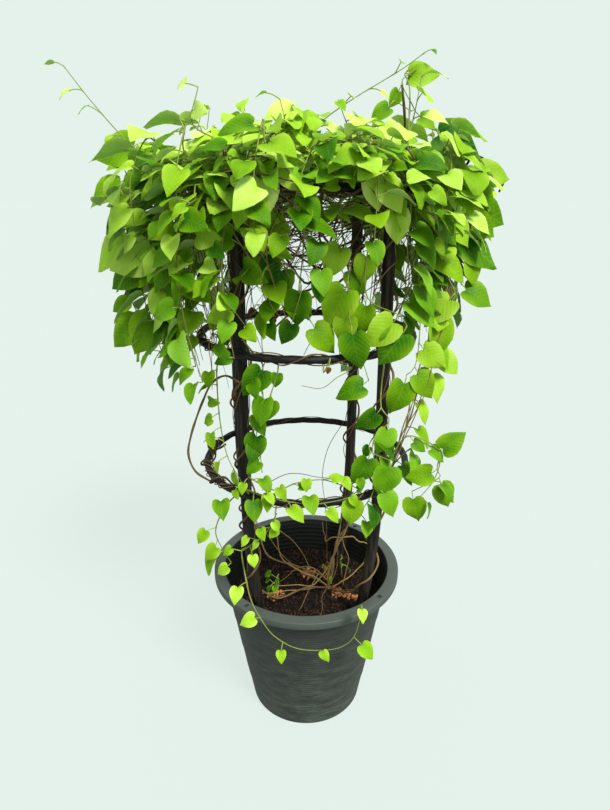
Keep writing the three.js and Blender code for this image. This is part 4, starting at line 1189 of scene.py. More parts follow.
# In this look, the colours for the grooves, the rim and the inside are painted shade, painted light
# and painted shade; the dust is the pot's own
potLook = {"wall": "2c312c", "grooveShade": "101310", "dust": "7d8874", "rim": "4a514a", "inner": "050605",
           "pitch": 4.8, "crease": 2.5, "grooveShadeLines": 0.45, "dusty": 0.42, "streaks": (26, 26, 90),
           "cloud": (1.0, 6.0, 0.75), "dustFrom": 0.4, "dustContrast": 2.6, "dustEvery": 0.25,
           "dustBelow": 230, "litRimFrom": 239, "innerShadeShare": 0.9, "matte": 0.5, "dustMatte": 0.3,
           "specular": 0.4, "bump": {"strength": 0.15, "distance": 0.0004}}


def makePotFinish(look):
    # painted shade darkens the grooves between the ribs, it is dusty in its lower half, painted
    # light makes the rim, which faces up, paler, and painted shade makes it nearly black inside.
    # How dark the grooves' painted shade is follows a cosine of the height.
    finish, tree, shader = newFinish("pot", Specular_IOR_Level=look["specular"])
    add, subtract, multiply = sumsOf(tree, "ADD", "SUBTRACT", "MULTIPLY")
    divide, power = sumsOf(tree, "DIVIDE", "POWER")
    place = addNode(tree, "ShaderNodeTexCoord").outputs["Object"]
    reach = lengthOf(tree, stretch(tree, place, (1, 1, 0)))
    high = addNode(tree, "ShaderNodeSeparateXYZ", {"Vector": place}).outputs["Z"]
    wave = calc(tree, "COSINE", multiply(high, 2 * math.pi / (look["pitch"] * metres)))
    # painted shade in the grooves, from a cosine of the height
    grooveShade = power(calc(tree, "MULTIPLY_ADD", wave, 0.5, 0.5), look["crease"])
    cloud = addNoise(tree, stretch(tree, place, look["streaks"]), *look["cloud"])
    lowDown = subtract(1.0, divide(high, look["dustBelow"] * metres), clamp=True)
    dust = multiply(subtract(cloud, look["dustFrom"]), look["dustContrast"], clamp=True)
    dust = multiply(multiply(dust, add(lowDown, look["dustEvery"])), look["dusty"])
    onLitRim = calc(tree, "GREATER_THAN", high, look["litRimFrom"] * metres)
    wallMiddle = (pot["baseRadius"] - pot["wall"] / 2) * metres
    wallReach = calc(tree, "MULTIPLY_ADD", high, pot["slope"], wallMiddle)
    inside = calc(tree, "LESS_THAN", reach, wallReach)
    colour = blendColours(tree, dust, colourOf(look["wall"]), colourOf(look["dust"]))
    # painted light: the rim, which faces up, is paler
    colour = blendColours(tree, onLitRim, colour, colourOf(look["rim"]))
    # the painted shade in the grooves, kept off the rim
    grooveShadeLines = multiply(grooveShade, subtract(look["grooveShadeLines"], onLitRim), clamp=True)
    colour = blendColours(tree, grooveShadeLines, colour, colourOf(look["grooveShade"]))
    # painted shade: nearly black inside the pot
    inner = multiply(inside, look["innerShadeShare"])
    colour = blendColours(tree, inner, colour, colourOf(look["inner"]))
    tree.links.new(colour, shader.inputs["Base Color"])
    roughness = add(multiply(dust, look["dustMatte"]), look["matte"])
    tree.links.new(roughness, shader.inputs["Roughness"])
    addBump(tree, shader, cloud, **look["bump"])
    return finish


finishes = {name: makeStreakedFinish(name, look) for name, look in streakedLooks.items()}
finishes["pot"] = makePotFinish(potLook)
leafFinishes = {shade: makeLeafFinish("leaf_" + shade, look) for shade, look in leafLooks.items()}
print("materials made:", len(finishes) + len(leafFinishes))


# Leaves: a blade is a closed ring of points round its midrib at steps along it, eight points a
# ring: five on the upper face from rim to rim, three on the lower
leafForm = {
    "outline": [(0.14, -0.1), (0.3, -0.13), (0.45, -0.04), (0.52, 0.15), (0.51, 0.34), (0.42, 0.55),
                (0.25, 0.76), (0.08, 0.92)],
    "midrib": (0.06, 0.14, 0.24, 0.36, 0.5, 0.66, 0.8, 0.92),
    "across": (-1, -0.5, 0, 0.5, 1, 0.5, 0, -0.5), "faceUp": (0, 1, 1, 1, 0, -1, -1, -1),
    "thick": 0.5, "wave": 0.035, "waves": 7.0, "waveAside": 1.3, "curl": 0.1, "vary": 0.2,
}
stalkForm = {"wide": 0.75, "narrow": 0.55, "sides": 5, "arch": 1.6, "steps": 5, "tone": 0.7}
stemForm = {"wide": 1.05, "narrow": 0.5, "sides": 7, "stepsPerNode": 6, "knot": 0.35, "tone": 0.4}
# tones of the light, mid and deep looks, brighter at the top and deeper inside the crown: partly
# painted light and shade
shadeTones = {"light": (0.25, 1.0), "mid": (0.08, 0.92), "deep": (0.03, 0.75), "dry": (0.2, 0.8)}


def bladeTemplate():
    across = np.array(leafForm["across"])
    outline, midrib = np.array(leafForm["outline"]), np.array(leafForm["midrib"])
    share = np.abs(across)
    x = outline[:, :1] * across
    y = midrib[:, None] * (1 - share) + outline[:, 1:] * share
    lift = np.broadcast_to(np.array(leafForm["faceUp"]) * (1 - share ** 2), x.shape)
    flat = np.stack([x, y, lift, np.broadcast_to(share, x.shape)], -1).reshape(-1, 4)
    whole = np.concatenate([[(0, 0, 0, 0)], flat, [(0, 1, 0, 0)]])
    rings, around = x.shape
    below = np.arange(around) >= around // 2
    rim = np.concatenate([[True], np.tile(share == 1, rings), [True]])
    # the lower face's corners start one later, so that both faces are split along like diagonals
    quads, foot, tip = ringFaces(rings, around)
    under = np.tile(below, rings - 1)
    quads = np.where(under[:, None], np.roll(quads, -1, 1), quads)
    return whole, [quads, foot, tip], rim, [under, below, below]


bladePoints, bladeFaces, bladeRim, bladeUnder = bladeTemplate()


# Leaves are smaller towards the front, and darker inside the crown and further down: painted
# shade, partly also the deeper green of older leaves
settle = {"size": 0.92, "frontFrom": 70, "frontOver": 140, "frontLess": 0.26, "core": 110,
          "coreOver": 110, "shadeFrom": 740, "shadeOver": 130, "coreShadeTone": 0.35}


def settled(foot):
    x, y, z = foot.T
    nearness = np.clip((-y - settle["frontFrom"]) / settle["frontOver"], 0, 1)
    outer = np.clip((np.hypot(x, y) - settle["core"]) / settle["coreOver"], 0, 1)
    high = np.clip((z - settle["shadeFrom"]) / settle["shadeOver"], 0, 1)
    # the first share sizes the leaves; the second is painted shade, which darkens leaves inside the
    # crown and further down
    return (settle["size"] - settle["frontLess"] * nearness,
            settle["coreShadeTone"] + (1 - settle["coreShadeTone"]) * np.maximum(outer, high))


def gathered(leaves, *labels):
    return (np.array([leaf[label] for leaf in leaves])[:, None] for label in labels)


def addLeaves(heap, grown):
    # wide times across plus long times along plus the rise: the fold lifts the sides, the droop
    # bends the tip down, the wave ripples the rim and the curl turns it down
    form, leaves = leafForm, grown["leaves"]
    dice = np.random.default_rng(grown["seed"])
    foot, across, along, normal = gathered(leaves, "foot", "across", "along", "normal")
    sizeShare, crownShadeShare = settled(foot[:, 0])
    given = np.array([leaf.get("tone", -1.0) for leaf in leaves])
    sizeShare = np.where(given < 0, sizeShare, 1)
    size = (np.array([leaf["size"] for leaf in leaves]) * sizeShare)[:, None]
    x, y, lift, share = bladePoints.T
    fold, droop = (bladeSize[name] * dice.uniform(1 - form["vary"], 1 + form["vary"], size.shape)
                   for name in ("fold", "droop"))
    wide = x * size * bladeSize["width"]
    phase = dice.uniform(0, 2 * np.pi, size.shape)
    ripple = np.sin(form["waves"] * y + np.sign(x) * form["waveAside"] + phase)
    rise = fold * np.abs(wide) - droop * size * y * np.abs(y)
    rise = rise + form["wave"] * size * ripple * share ** 2
    curl = form["curl"] * size * share ** 2 * dice.uniform(0, 1, size.shape)
    rise = rise - curl + lift * form["thick"] / 2
    points = foot + across * wide[..., None] + along * (y * size)[..., None] + normal * rise[..., None]
    # painted shade from the crown's inside darkens the drawn tones
    tones = dice.uniform(*shadeTones[grown["shade"]], len(leaves)) * crownShadeShare
    pour(heap, points, bladeFaces, plan=bladePoints[:, :2], rim=bladeRim,
         tone=np.where(given < 0, tones, given), under=bladeUnder)


def addStem(heap, grown, finish):
    steps = grown["nodes"] * stemForm["stepsPerNode"]
    path = spaced(grown["points"], steps)
    share = np.arange(steps + 1) / steps
    radii = stemForm["wide"] + (stemForm["narrow"] - stemForm["wide"]) * share
    atNode = np.arange(steps + 1) % stemForm["stepsPerNode"] == 0
    radii = radii * (1 + stemForm["knot"] * atNode)
    addTubes(heap, path, radii, stemForm["sides"], tone=stemForm["tone"], finish=finish)


def addStalks(heap, grown, finish):
    # a stalk leaves the stem along its own direction and arches into the foot of the blade
    start, end, normal = gathered(grown["leaves"], "at", "foot", "normal")
    share = np.linspace(0, 1, stalkForm["steps"])[:, None]
    paths = start + (end - start) * share + normal * stalkForm["arch"] * np.sin(np.pi * share)
    radii = np.linspace(stalkForm["wide"], stalkForm["narrow"], stalkForm["steps"])
    addTubes(heap, paths, radii, stalkForm["sides"], tone=stalkForm["tone"], finish=finish)


def dressShoots(name, shoots, replaced=()):
    # the shoots of a piece share one shade; their stems are its second finish
    shade = shoots[0]["shade"]
    heap = newHeap()
    for grown in shoots:
        if grown["leaves"]:
            addLeaves(heap, grown)
        addStem(heap, grown, 1)
        if grown["leaves"]:
            addStalks(heap, grown, 1)
    makePiece(name, heap, [leafFinishes[shade], finishes["shoot"]],
              replaced)


for grown in packedShoots:
    dressShoots(grown["name"] + "_fine", [grown], [grown["name"]])
for kind, shoots in looseShoots.items():
    dressShoots("growth_" + kind, shoots)
for grown in pendantShoots + accentShoots:
    dressShoots("growth_" + grown["name"], [grown])
print("shoots dressed:", len(packedShoots), "packed,", len(pendantShoots + accentShoots), "single,",
      sum(len(shoots) for shoots in looseShoots.values()), "loose")


# Pot: a profile turned about the upright axis, with holes cut through it
potForm = {
    "around": 144, "footChamfer": 2, "ribHigh": 0.42, "ribPitch": 4.8, "ribSteps": 6,
    "ribbed": (64, 206), "faint": 0.35, "bandStep": 0.8, "bands": (50, 110, 170),
    "groovePitch": 7.6, "grooveDeep": 0.44, "groovesTop": 248, "groovesFoot": 180, "grooveSteps": 60,
    "lowTop": 174, "lowSteps": 12, "round": 1.2, "skirtEdge": (0.5, 0.6), "holeSides": 24,
}
hangerHoles = {"count": 4, "circle": 140, "radius": 3.4, "first": -39,
               "cut": (pot["height"] - 6, pot["height"] + 4)}
drainHoles = {"count": 5, "circle": 66, "radius": 5, "first": 0, "cut": (-3, pot["floor"] + 0.3)}


def outerWall(z):
    return pot["baseRadius"] + pot["slope"] * z


def innerWall(z):
    return outerWall(z) - pot["wall"]


def roundCorner(r, z, start, end, steps=5):
    turn = np.radians(np.linspace(start, end, steps))
    return np.stack([r + potForm["round"] * np.cos(turn), z + potForm["round"] * np.sin(turn)], -1)


def potProfile():
    # outside, rounded ribs stand on the tapered wall, with three broad steps among them; inside,
    # fine grooves run round above the soil. Ribs and grooves follow the size of a sine.
    form, tall, rim = potForm, pot["height"], pot["rimRadius"]
    underRim, skirt, edge = tall - pot["rimThick"], tall - pot["skirtDrop"], form["round"]
    count = int((underRim - form["footChamfer"]) / form["ribPitch"] * form["ribSteps"])
    z = np.linspace(form["footChamfer"], underRim, count)
    low, high = form["ribbed"]
    strong = np.where((z > low) & (z < high), 1, form["faint"])
    ribs = form["ribHigh"] * strong * np.abs(np.sin(np.pi * z / form["ribPitch"]))
    edges = np.array([0, *form["bands"], underRim])
    band = np.clip(np.searchsorted(edges, z, side="right") - 1, 0, len(edges) - 2)
    fading = 1 - (z - edges[band]) / (edges[band + 1] - edges[band])
    bands = np.where(band > 0, form["bandStep"] * fading, 0)
    outside = np.stack([outerWall(z) + ribs + bands, z], -1)
    down = np.linspace(form["groovesTop"], form["groovesFoot"], form["grooveSteps"])
    grooves = form["grooveDeep"] * np.abs(np.sin(np.pi * down / form["groovePitch"]))
    inside = np.stack([innerWall(down) + grooves, down], -1)
    below = np.linspace(form["lowTop"], pot["floor"], form["lowSteps"])
    inward, up = form["skirtEdge"]
    return np.concatenate([
        [(pot["baseRadius"] - form["footChamfer"], 0)], outside,
        [(rim - pot["rimThick"], underRim), (rim - pot["rimThick"], skirt)],
        [(rim - inward, skirt), (rim, skirt + up)],
        roundCorner(rim - edge, tall - edge, 0, 90),
        roundCorner(innerWall(tall) + edge, tall - edge, 90, 180),
        inside, np.stack([innerWall(below), below], -1),
    ])


def spun(profile, around):
    # each point of the profile goes round the upright axis; the ends close on it
    turn = 2 * np.pi * np.arange(around) / around
    r, z = profile[:, :1], profile[:, 1:]
    rings = np.stack([r * np.cos(turn), r * np.sin(turn), np.broadcast_to(z, (len(z), around))], -1)
    first, last = (0, 0, profile[0, 1]), (0, 0, profile[-1, 1])
    return np.concatenate([[first], rings.reshape(-1, 3), [last]])


def cutHoles(piece, holes):
    low, high = holes["cut"]
    heap = newHeap()
    for hole in range(holes["count"]):
        x, y = polar(holes["circle"], holes["first"] + 360 / holes["count"] * hole, 0)[:2]
        upright = [(x, y, low), (x, y, (low + high) / 2), (x, y, high)]
        addTubes(heap, upright, holes["radius"], potForm["holeSides"])
    cutter = putInScene("cutter", meshOf("cutter", heap))
    cut = piece.modifiers.new("holes", "BOOLEAN")
    cut.operation, cut.solver, cut.object = "DIFFERENCE", "EXACT", cutter
    holed = bpy.data.meshes.new_from_object(piece.evaluated_get(bpy.context.evaluated_depsgraph_get()))
    piece.modifiers.remove(cut)
    piece.data = holed
    bpy.data.objects.remove(cutter)


def makePot():
    profile = potProfile()
    heap = newHeap()
    pour(heap, spun(profile, potForm["around"]), ringFaces(len(profile), potForm["around"]))
    piece = makePiece("pot_moulded", heap, [finishes["pot"]], ["pot"])
    cutHoles(piece, hangerHoles)
    cutHoles(piece, drainHoles)


makePot()
print("pot made")


# Soil: a low dome with crumbs and coco husk on it
soilForm = {"around": 120, "rings": 60, "rough": 2.2, "waves": 26, "tightest": 0.42, "calmEdge": 4,
            "waist": 100, "gap": 0.35, "seed": 5}
crumbs = {"count": 1700, "size": (1.6, 5.2), "stretch": (0.35, 1.2), "lift": 0.15, "offWall": 5,
          "seed": 8}
husks = {"each": 26, "size": (2.5, 6.5), "stretch": (0.3, 1.5), "lift": 0.25, "heaped": 2,
         "clusters": [(56, -20, 16), (-48, -22, 13), (76, -26, 9), (2, 34, 12)], "scatter": 0.42,
         "seed": 9}
soilDice = np.random.default_rng(soilForm["seed"])
soilWaves = {"along": soilDice.uniform(-1, 1, (soilForm["waves"], 2)) * soilForm["tightest"],
             "phase": soilDice.uniform(0, 2 * np.pi, soilForm["waves"])}


def soilTop(x, y):
    # the dome falls with the square of the distance from the middle, and carries a sum of sine
    # waves in many directions that fade at the edge
    share = np.hypot(x, y) / (innerWall(soilLevel["edge"]) - soilForm["gap"])
    dome = soilLevel["middle"] - (soilLevel["middle"] - soilLevel["edge"]) * share ** 2
    alongX, alongY = soilWaves["along"].T
    spread = np.multiply.outer(x, alongX) + np.multiply.outer(y, alongY)
    waves = np.sin(spread + soilWaves["phase"]).sum(-1) / math.sqrt(soilForm["waves"])
    return dome + soilForm["rough"] * waves * np.clip(soilForm["calmEdge"] * (1 - share), 0, 1)


def makeSoil():
    form = soilForm
    edge = innerWall(soilLevel["edge"]) - form["gap"]
    bottom = pot["floor"] + form["gap"]
    sides = [(innerWall(z) - form["gap"], z) for z in (bottom, form["waist"])]
    tops = [(edge * (1 - ring / form["rings"]), soilLevel["edge"]) for ring in range(form["rings"])]
    points = spun(np.array([*sides, *tops, (0, soilLevel["middle"])], float), form["around"])
    top = np.arange(len(points)) > len(sides) * form["around"]
    points[top, 2] = soilTop(points[top, 0], points[top, 1])
    # the last ring has no width, so the middle point stands for it
    points = np.concatenate([points[:-1 - form["around"]], points[-1:]])
    heap = newHeap()
    pour(heap, points, ringFaces(len(sides) + len(tops), form["around"]))
    makePiece("soil_mix", heap, [finishes["soil"]], ["soil"])


square = ((-1, -1), (1, -1), (1, 1), (-1, 1))
boxCorners = np.array([(x, y, z) for z in (-1, 1) for x, y in square], float)
boxFaces = [np.array([(0, 3, 2, 1), (4, 5, 6, 7), (0, 1, 5, 4), (1, 2, 6, 5), (2, 3, 7, 6),
                      (3, 0, 4, 7)])]
uneven = (-0.4, 0.3)


def anyTurns(dice, count):
    # even random turns from unit quaternions
    w, x, y, z = unit(dice.normal(size=(count, 4))).T
    return np.stack([
        np.stack([1 - 2 * (y * y + z * z), 2 * (x * y - w * z), 2 * (x * z + w * y)], -1),
        np.stack([2 * (x * y + w * z), 1 - 2 * (x * x + z * z), 2 * (y * z - w * x)], -1),
        np.stack([2 * (x * z - w * y), 2 * (y * z + w * x), 1 - 2 * (x * x + y * y)], -1)], -2)


def addChips(heap, dice, places, sizes, stretch):
    # six-sided chips with uneven corners, each turned its own way and of its own tone
    count = len(places)
    shape = boxCorners * (1 + dice.uniform(*uneven, (count, 8, 3)))
    shape = shape * (sizes[:, None] * dice.uniform(*stretch, (count, 3)))[:, None] / 2
    shape = np.einsum("nij,nkj->nki", anyTurns(dice, count), shape) + places[:, None]
    pour(heap, shape, boxFaces, tone=dice.uniform(0, 1, count))


def makeCrumbs():
    dice = np.random.default_rng(crumbs["seed"])
    count = crumbs["count"]
    radius = (innerWall(soilLevel["edge"]) - crumbs["offWall"]) * np.sqrt(dice.uniform(0, 1, count))
    turn = dice.uniform(0, 2 * np.pi, count)
    x, y = radius * np.cos(turn), radius * np.sin(turn)
    sizes = dice.uniform(*crumbs["size"], count)
    places = np.stack([x, y, soilTop(x, y) + sizes * crumbs["lift"]], -1)
    heap = newHeap()
    addChips(heap, dice, places, sizes, crumbs["stretch"])
    makePiece("soil_crumbs", heap, [finishes["chips"]])


def makeHusks():
    dice = np.random.default_rng(husks["seed"])
    count = husks["each"]
    heap = newHeap()
    for x, y, spread in husks["clusters"]:
        places = np.array([x, y]) + dice.normal(0, spread * husks["scatter"], (count, 2))
        sizes = dice.uniform(*husks["size"], count)
        height = soilTop(*places.T) + sizes * husks["lift"] + dice.uniform(0, husks["heaped"], count)
        addChips(heap, dice, np.column_stack([places, height]), sizes, husks["stretch"])
    makePiece("husk_chips", heap, [finishes["husk"]])


makeSoil()
makeCrumbs()
makeHusks()
print("soil made")


# Posts and hoops
postForm = {"sides": 28, "steps": 90, "cap": (0.96, 0.86, 0.6)}
hoopForm = {"along": 264, "around": 18, "uneven": 0.3, "waves": (17, 5, 2), "strands": 3,
            "twists": 11, "ridge": 0.9}


def makePosts():
    for side, azimuth in azimuths.items():
        path = spaced(postPoints(azimuth), postForm["steps"])
        radii = np.full(len(path), float(post["radius"]))
        radii[-len(postForm["cap"]):] *= postForm["cap"]
        heap = newHeap()
        addTubes(heap, path, radii, postForm["sides"])
        makePiece(f"post_{side}_coated", heap, [finishes["post"]], [f"post_{side}"])


def makeHoops():
    # a ring of circles, thinner where the product of two sine waves is high, with the ridges of
    # strands that wind round it: each ridge falls off with the size of a cosine
    form = hoopForm
    longWave, crossWave, crossTurns = form["waves"]
    ring, side = np.meshgrid(np.arange(form["along"]), np.arange(form["around"]), indexing="ij")
    nextRing, nextSide = (ring + 1) % form["along"], (side + 1) % form["around"]
    corners = ((ring, side), (nextRing, side), (nextRing, nextSide), (ring, nextSide))
    faces = np.stack([here * form["around"] + beside for here, beside in corners], -1)
    turn, around = 2 * np.pi * ring / form["along"], 2 * np.pi * side / form["around"]
    phase = form["strands"] * (around + form["twists"] * turn)
    ridges = form["ridge"] * (1 - np.abs(np.cos(phase / 2)))
    for level, z in zip(("low", "middle", "top"), hoop["heights"]):
        waves = np.sin(longWave * turn + z) * np.sin(crossWave * turn + crossTurns * around)
        tube = hoop["tube"] - form["uneven"] * (1 + waves) / 2 - ridges
        reach = hoop["radius"] + tube * np.cos(around)
        points = np.stack([reach * np.cos(turn), reach * np.sin(turn), z + tube * np.sin(around)], -1)
        heap = newHeap()
        pour(heap, points.reshape(-1, 3), [faces.reshape(-1, 4)])
        makePiece(f"hoop_{level}_coated", heap, [finishes["hoop"]], [f"hoop_{level}"])


makePosts()
makeHoops()
print("posts and hoops made")


# Woody stems
woodForm = {"sides": 9, "stepsPerLeg": 5, "thin": 0.76, "uneven": 0.12, "waves": 0.9, "seed": 3,
            "postTones": (0.25, 0.6), "nestTones": (0.05, 0.35)}
trunk = {"heights": (158, 180, 196, 202, 206), "radii": (5.2, 5.5, 5.8, 4.8, 2.6), "sides": 12,
         "tone": 0.45}


def makeWood():
    dice = np.random.default_rng(woodForm["seed"])
    heap = newHeap()
    for order, path in enumerate(woodPaths):
        # the stems on the posts come first, two for each post
        steps = (len(path) - 1) * woodForm["stepsPerLeg"]
        waves = np.sin(np.arange(steps + 1) * woodForm["waves"])
        radii = wood["radius"] * (woodForm["thin"] + woodForm["uneven"] * waves)
        tones = woodForm["postTones"] if order < 2 * len(azimuths) else woodForm["nestTones"]
        addTubes(heap, spaced(path, steps), radii, woodForm["sides"], tone=dice.uniform(*tones))
    upright = [(root[0], root[1], z) for z in trunk["heights"]]
    addTubes(heap, upright, trunk["radii"], trunk["sides"], tone=trunk["tone"])
    makePiece("woody_stems_fine", heap, [finishes["bark"]], ["woody_stems"])


makeWood()


# Thin stems: each kind has a route drawn at random, which is smoothed and wanders a little
def nestRoute(dice):
    # across the frame under the top hoop, sagging between its ends
    start = dice.uniform(0, 360)
    end = start + dice.uniform(80, 280)
    low = dice.uniform(722, 806)
    inner = dice.uniform(100, 136, 2)
    return [polar(148, start, 820 + dice.uniform(-10, 10)),
            polar(inner[0], start + 14, (low + 816) / 2),
            polar(dice.uniform(5, 92), dice.uniform(0, 360), low),
            polar(inner[1], end - 14, (low + 812) / 2),
            polar(148, end, 820 + dice.uniform(-10, 10))]


def mattRoute(dice):
    # round the top hoop among the leaves' stalks
    start, sweep = dice.uniform(0, 360), dice.uniform(30, 120)
    return [polar(dice.uniform(112, 196), start + sweep * share, dice.uniform(800, 868))
            for share in (0, 0.25, 0.5, 0.75, 1)]


def danglingRoute(dice):
    # hangs from the crown, mostly at its left and its right
    places = [dice.uniform(165, 250), dice.uniform(-58, 40), dice.uniform(0, 360)]
    azimuth = dice.choice(places, p=[0.42, 0.38, 0.2])
    reach, foot = dice.uniform(126, 196), hemHeight(azimuth) + dice.uniform(-24, 70)
    return [polar(150, azimuth, 824), polar((reach + 150) / 2, azimuth + dice.uniform(-6, 6), 796),
            polar(reach, azimuth + dice.uniform(-10, 10), (796 + foot) / 2),
            polar(reach - dice.uniform(0, 24), azimuth + dice.uniform(-14, 14), foot)]


def innerRoute(dice):
    # hangs inside and at the front of the frame, from the nest to the middle hoop
    azimuth, reach = dice.uniform(0, 360), dice.uniform(40, 150)
    foot = dice.uniform(640, 730)
    return [polar(reach, azimuth, 800), polar(reach * 0.95, azimuth + dice.uniform(-14, 14), 750),
            polar(reach * 0.9, azimuth + dice.uniform(-20, 20), foot)]


def crossRoute(dice):
    # slants from the top hoop down to the middle one, across the frame
    start = dice.uniform(200, 350)
    end = start + dice.choice([-1, 1]) * dice.uniform(30, 110)
    first, last = polar(dice.uniform(120, 150), start, 816), polar(dice.uniform(140, 150), end, 640)
    return [first, (first + last) / 2 + dice.uniform(-14, 14, 3), last]


def rootRoute(dice):
    # springs from the root crown, arches over the soil and ends at a post or in the soil
    azimuth, reach = dice.uniform(0, 360), dice.uniform(40, 96)
    rise = dice.uniform(6, 36)
    end = polar(reach, azimuth, 0)
    middle = (root + end) / 2
    near = root * 0.8 + middle * 0.2
    return [root + (0, 0, 2), (near[0], near[1], 206 + rise * 0.6), (middle[0], middle[1], 206 + rise),
            (end[0], end[1], 199)]


def climbingRoute(dice):
    # from the root crown up to a post, where it joins the other stems
    azimuth = dice.choice(list(azimuths.values())) + dice.uniform(-3, 3)
    foot = dice.uniform(250, 360)
    end = polar(postReach(foot) - 10, azimuth, foot)
    middle = (root + end) / 2
    return [root + (0, 0, 2), (middle[0], middle[1], 216 + dice.uniform(-8, 16)),
            end * (0.97, 0.97, 0.9), end]


strands = {
    "nest": {"count": 38, "route": nestRoute, "wide": (0.45, 1.0), "wander": 6, "steps": 30,
             "tone": (0, 0.2)},
    "matt": {"count": 42, "route": mattRoute, "wide": (0.5, 1.1), "wander": 6, "steps": 24,
             "tone": (0, 0.4)},
    "dangling": {"count": 64, "route": danglingRoute, "wide": (0.4, 1.0), "wander": 7, "steps": 30,
                 "tone": (0.1, 1.0)},
    "inner": {"count": 30, "route": innerRoute, "wide": (0.35, 0.8), "wander": 8, "steps": 24,
              "tone": (0, 0.7)},
    "slanting": {"count": 14, "route": crossRoute, "wide": (0.4, 0.85), "wander": 9, "steps": 24,
                 "tone": (0, 0.5)},
    "rootlet": {"count": 8, "route": rootRoute, "wide": (0.5, 1.1), "wander": 2.5, "steps": 20,
                "tone": (0.4, 1.0)},
    "climber": {"count": 5, "route": climbingRoute, "wide": (0.6, 1.0), "wander": 3, "steps": 24,
                "tone": (0.4, 1.0)},
}
strandForm = {"sides": 5, "taper": 0.6, "seed": 17}
# Stems that twine up the posts and round the hoops
twines = {"perPost": 3, "foot": (230, 560), "length": (120, 420), "highest": 812, "hug": (8.9, 11.5),
          "pitch": (90, 220), "wide": (0.4, 0.9), "tone": (0.05, 0.6), "steps": 5}
coils = {"late": 20, "early": 25, "turnsPerQuarter": (1.2, 4), "hug": (6.3, 8), "steps": 4,
         "spans": [(lowHoop, 150, 236, 7), (lowHoop, 236, 322, 3), (middleHoop, 170, 235, 4),
                   (middleHoop, 235, 318, 3), (middleHoop, 40, 150, 2), (lowHoop, 40, 150, 1)]}
# Pale stems over the soil, which fork above the root crown: radii at both ends, and points
fork = (59, 12, 289)
forked = [
    ((2.3, 1.7), [(38, -4, 200), (36, 2, 230), (46, 8, 262), fork]),
    ((1.4, 0.9), [fork, (80, 18, 284), (103, 22, 270)]),
    ((1.2, 0.7), [fork, (44, 20, 284), (31, 20, 276), (26, 8, 320)]),
    ((1.3, 0.8), [fork, (68, 12, 312), (82, -20, 352)]),
    ((1.0, 0.7), [fork, (68, 8, 250), (62, 2, 202)]),
    ((0.9, 1.2), [(103, 22, 270), (94, 10, 240), (70, 0, 216), (40, -4, 202)]),
    ((0.9, 1.3), [(-46, -20, 310), (-42, -12, 270), (-12, -10, 241), (18, -8, 222), (38, -4, 203)]),
    ((0.8, 1.0), [(-50, -18, 216), (4, -14, 214), (20, -8, 220), (36, 4, 236)]),
    ((0.7, 0.7), [(-60, 40, 300), (-10, 50, 240), (10, 46, 196)]),
]
forkedForm = {"steps": 24, "sides": 7, "wander": 2, "tone": (0.75, 1)}
# Thin stems that show one by one: radii at both ends, tone, and points
fineStems = [
    ((0.55, 0.4), 0.3, [(-57, -150, 463), (-44, -152, 477), (-26, -152, 487), (-8, -150, 487),
                        (15, -146, 480), (36, -140, 474)]),
    ((0.6, 0.45), 0.35, [(66, 130, 448), (41, 104, 417), (31, 96, 382), (29, 84, 350), (32, 66, 319),
                         (35, 46, 262), (36, 20, 200)]),
    ((1.9, 1.0), 0.45, [(118, -60, 790), (108, -80, 774), (70, -100, 749), (34, -118, 720),
                        (4, -124, 703), (-26, -120, 680), (-48, -112, 658)]),
    ((0.5, 0.4), 0.6, [(60, -134, 642), (54, -146, 627), (37, -150, 614), (18, -150, 601),
                       (-6, -150, 604)]),
]
fineForm = {"steps": 30, "sides": 6, "wander": 1}
bundle = {"count": 7, "wide": (0.45, 0.8), "tone": (0.3, 0.8), "wander": 7, "steps": 36,
          "points": [(150, -50, 800), (174, -84, 715), (167, -96, 673), (153, -106, 624),
                     (138, -116, 567), (123, -124, 522), (112, -118, 474)]}


def wander(path, size, dice):
    # two waves of random phase in each direction, which fade out at both ends
    share = np.linspace(0, 1, len(path))[:, None]
    waves = [np.sin(2 * np.pi * turns * share + dice.uniform(0, 2 * np.pi, 3)) / turns
             for turns in (1, 2.6)]
    return path + size * sum(waves) * np.sin(np.pi * share)


def fillLoose(heap, dice, look):
    paths = np.array([wander(spaced(look["route"](dice), look["steps"]), look["wander"], dice)
                      for index in range(look["count"])])
    taper = np.linspace(1, strandForm["taper"], look["steps"] + 1)
    radii = dice.uniform(*look["wide"], (look["count"], 1)) * taper
    addTubes(heap, paths, radii, strandForm["sides"], tone=dice.uniform(*look["tone"], look["count"]))


def addTwined(heap, dice, route, steps):
    addTubes(heap, spaced(route, len(route) * steps), dice.uniform(*twines["wide"]),
             strandForm["sides"], tone=dice.uniform(*twines["tone"]))


def fillTwined(heap, dice):
    for azimuth in azimuths.values():
        for index in range(twines["perPost"]):
            low = dice.uniform(*twines["foot"])
            high = min(low + dice.uniform(*twines["length"]), twines["highest"])
            route = postTwine(azimuth, low, high, dice.uniform(*twines["hug"]),
                              dice.uniform(*twines["pitch"]), dice.uniform(0, 360))
            addTwined(heap, dice, route, twines["steps"])
    for height, start, end, count in coils["spans"]:
        for index in range(count):
            first = dice.uniform(start, start + coils["late"])
            last = dice.uniform(end - coils["early"], end)
            route = hoopCoil(height, first, last, dice.uniform(0, 360),
                             dice.uniform(*coils["turnsPerQuarter"]), dice.uniform(*coils["hug"]))
            addTwined(heap, dice, route, coils["steps"])


def fillForked(heap, dice):
    steps = forkedForm["steps"]
    for wide, points in forked:
        path = wander(spaced(points, steps), forkedForm["wander"], dice)
        addTubes(heap, path, np.linspace(*wide, steps + 1), forkedForm["sides"],
                 tone=dice.uniform(*forkedForm["tone"]))


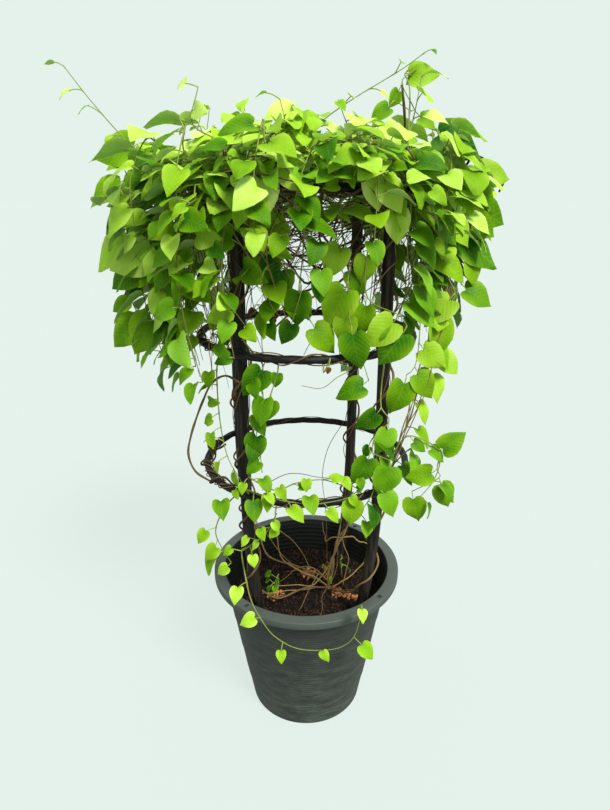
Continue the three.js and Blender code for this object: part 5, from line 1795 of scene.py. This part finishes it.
def fillSingle(heap, dice):
    steps = fineForm["steps"]
    for wide, tone, points in fineStems:
        path = wander(spaced(points, steps), fineForm["wander"], dice)
        addTubes(heap, path, np.linspace(*wide, steps + 1), fineForm["sides"], tone=tone)
    for index in range(bundle["count"]):
        path = wander(spaced(bundle["points"], bundle["steps"]), bundle["wander"], dice)
        addTubes(heap, path, dice.uniform(*bundle["wide"]), strandForm["sides"],
                 tone=dice.uniform(*bundle["tone"]))


def makeStrands():
    dice = np.random.default_rng(strandForm["seed"])
    fills = {kind: (fillLoose, look) for kind, look in strands.items()}
    fills.update(twined=(fillTwined,), forked=(fillForked,), single=(fillSingle,))
    for kind, (fill, *look) in fills.items():
        heap = newHeap()
        fill(heap, dice, *look)
        makePiece("strands_" + kind, heap, [finishes["bark"]])


makeStrands()
print("stems made")


# Floor, light and the view transform
stage = {"radius": 80, "sides": 64, "floor": (0.07, 0.074, 0.072), "glow": (0.676, 0.765, 0.72),
         "bounce": 0.47}
sky = {"air": "e4f2eb", "seen": 1.0, "lit": 0.88}
sun = {"lean": 42, "turn": 34, "spread": 18, "strength": 3.9}


def makeFloor():
    # it glows by its full strength in the camera's view, and by less where it lights the plant
    turn = 2 * np.pi * np.arange(stage["sides"]) / stage["sides"]
    ring = np.stack([np.cos(turn), np.sin(turn), 0 * turn], -1) * stage["radius"]
    mesh = bpy.data.meshes.new("floor")
    mesh.from_pydata(ring.tolist(), [], [list(range(stage["sides"]))])
    finish, tree, shader = newFinish("pale_floor", Base_Color=(*stage["floor"], 1), Roughness=1.0,
                                     Specular_IOR_Level=0.0, Emission_Color=(*stage["glow"], 1))
    seen = addNode(tree, "ShaderNodeLightPath").outputs["Is Camera Ray"]
    shining = calc(tree, "MULTIPLY_ADD", seen, 1 - stage["bounce"], stage["bounce"])
    tree.links.new(shining, shader.inputs["Emission Strength"])
    mesh.materials.append(finish)
    putInScene("floor", mesh)


def makeAir():
    air = bpy.data.worlds.new("air")
    air.use_nodes = True
    tree = air.node_tree
    background = tree.nodes["Background"]
    background.inputs["Color"].default_value = colourOf(sky["air"])
    seen = addNode(tree, "ShaderNodeLightPath").outputs["Is Camera Ray"]
    strength = calc(tree, "MULTIPLY_ADD", seen, sky["seen"] - sky["lit"], sky["lit"])
    tree.links.new(strength, background.inputs["Strength"])
    scene.world = air


def makeSun():
    lamp = bpy.data.lights.new("sun", "SUN")
    lamp.energy, lamp.angle = sun["strength"], math.radians(sun["spread"])
    light = putInScene("sun", lamp)
    light.rotation_euler = (math.radians(sun["lean"]), 0, math.radians(sun["turn"]))


makeFloor()
makeAir()
makeSun()
scene.view_settings.view_transform = "Standard"
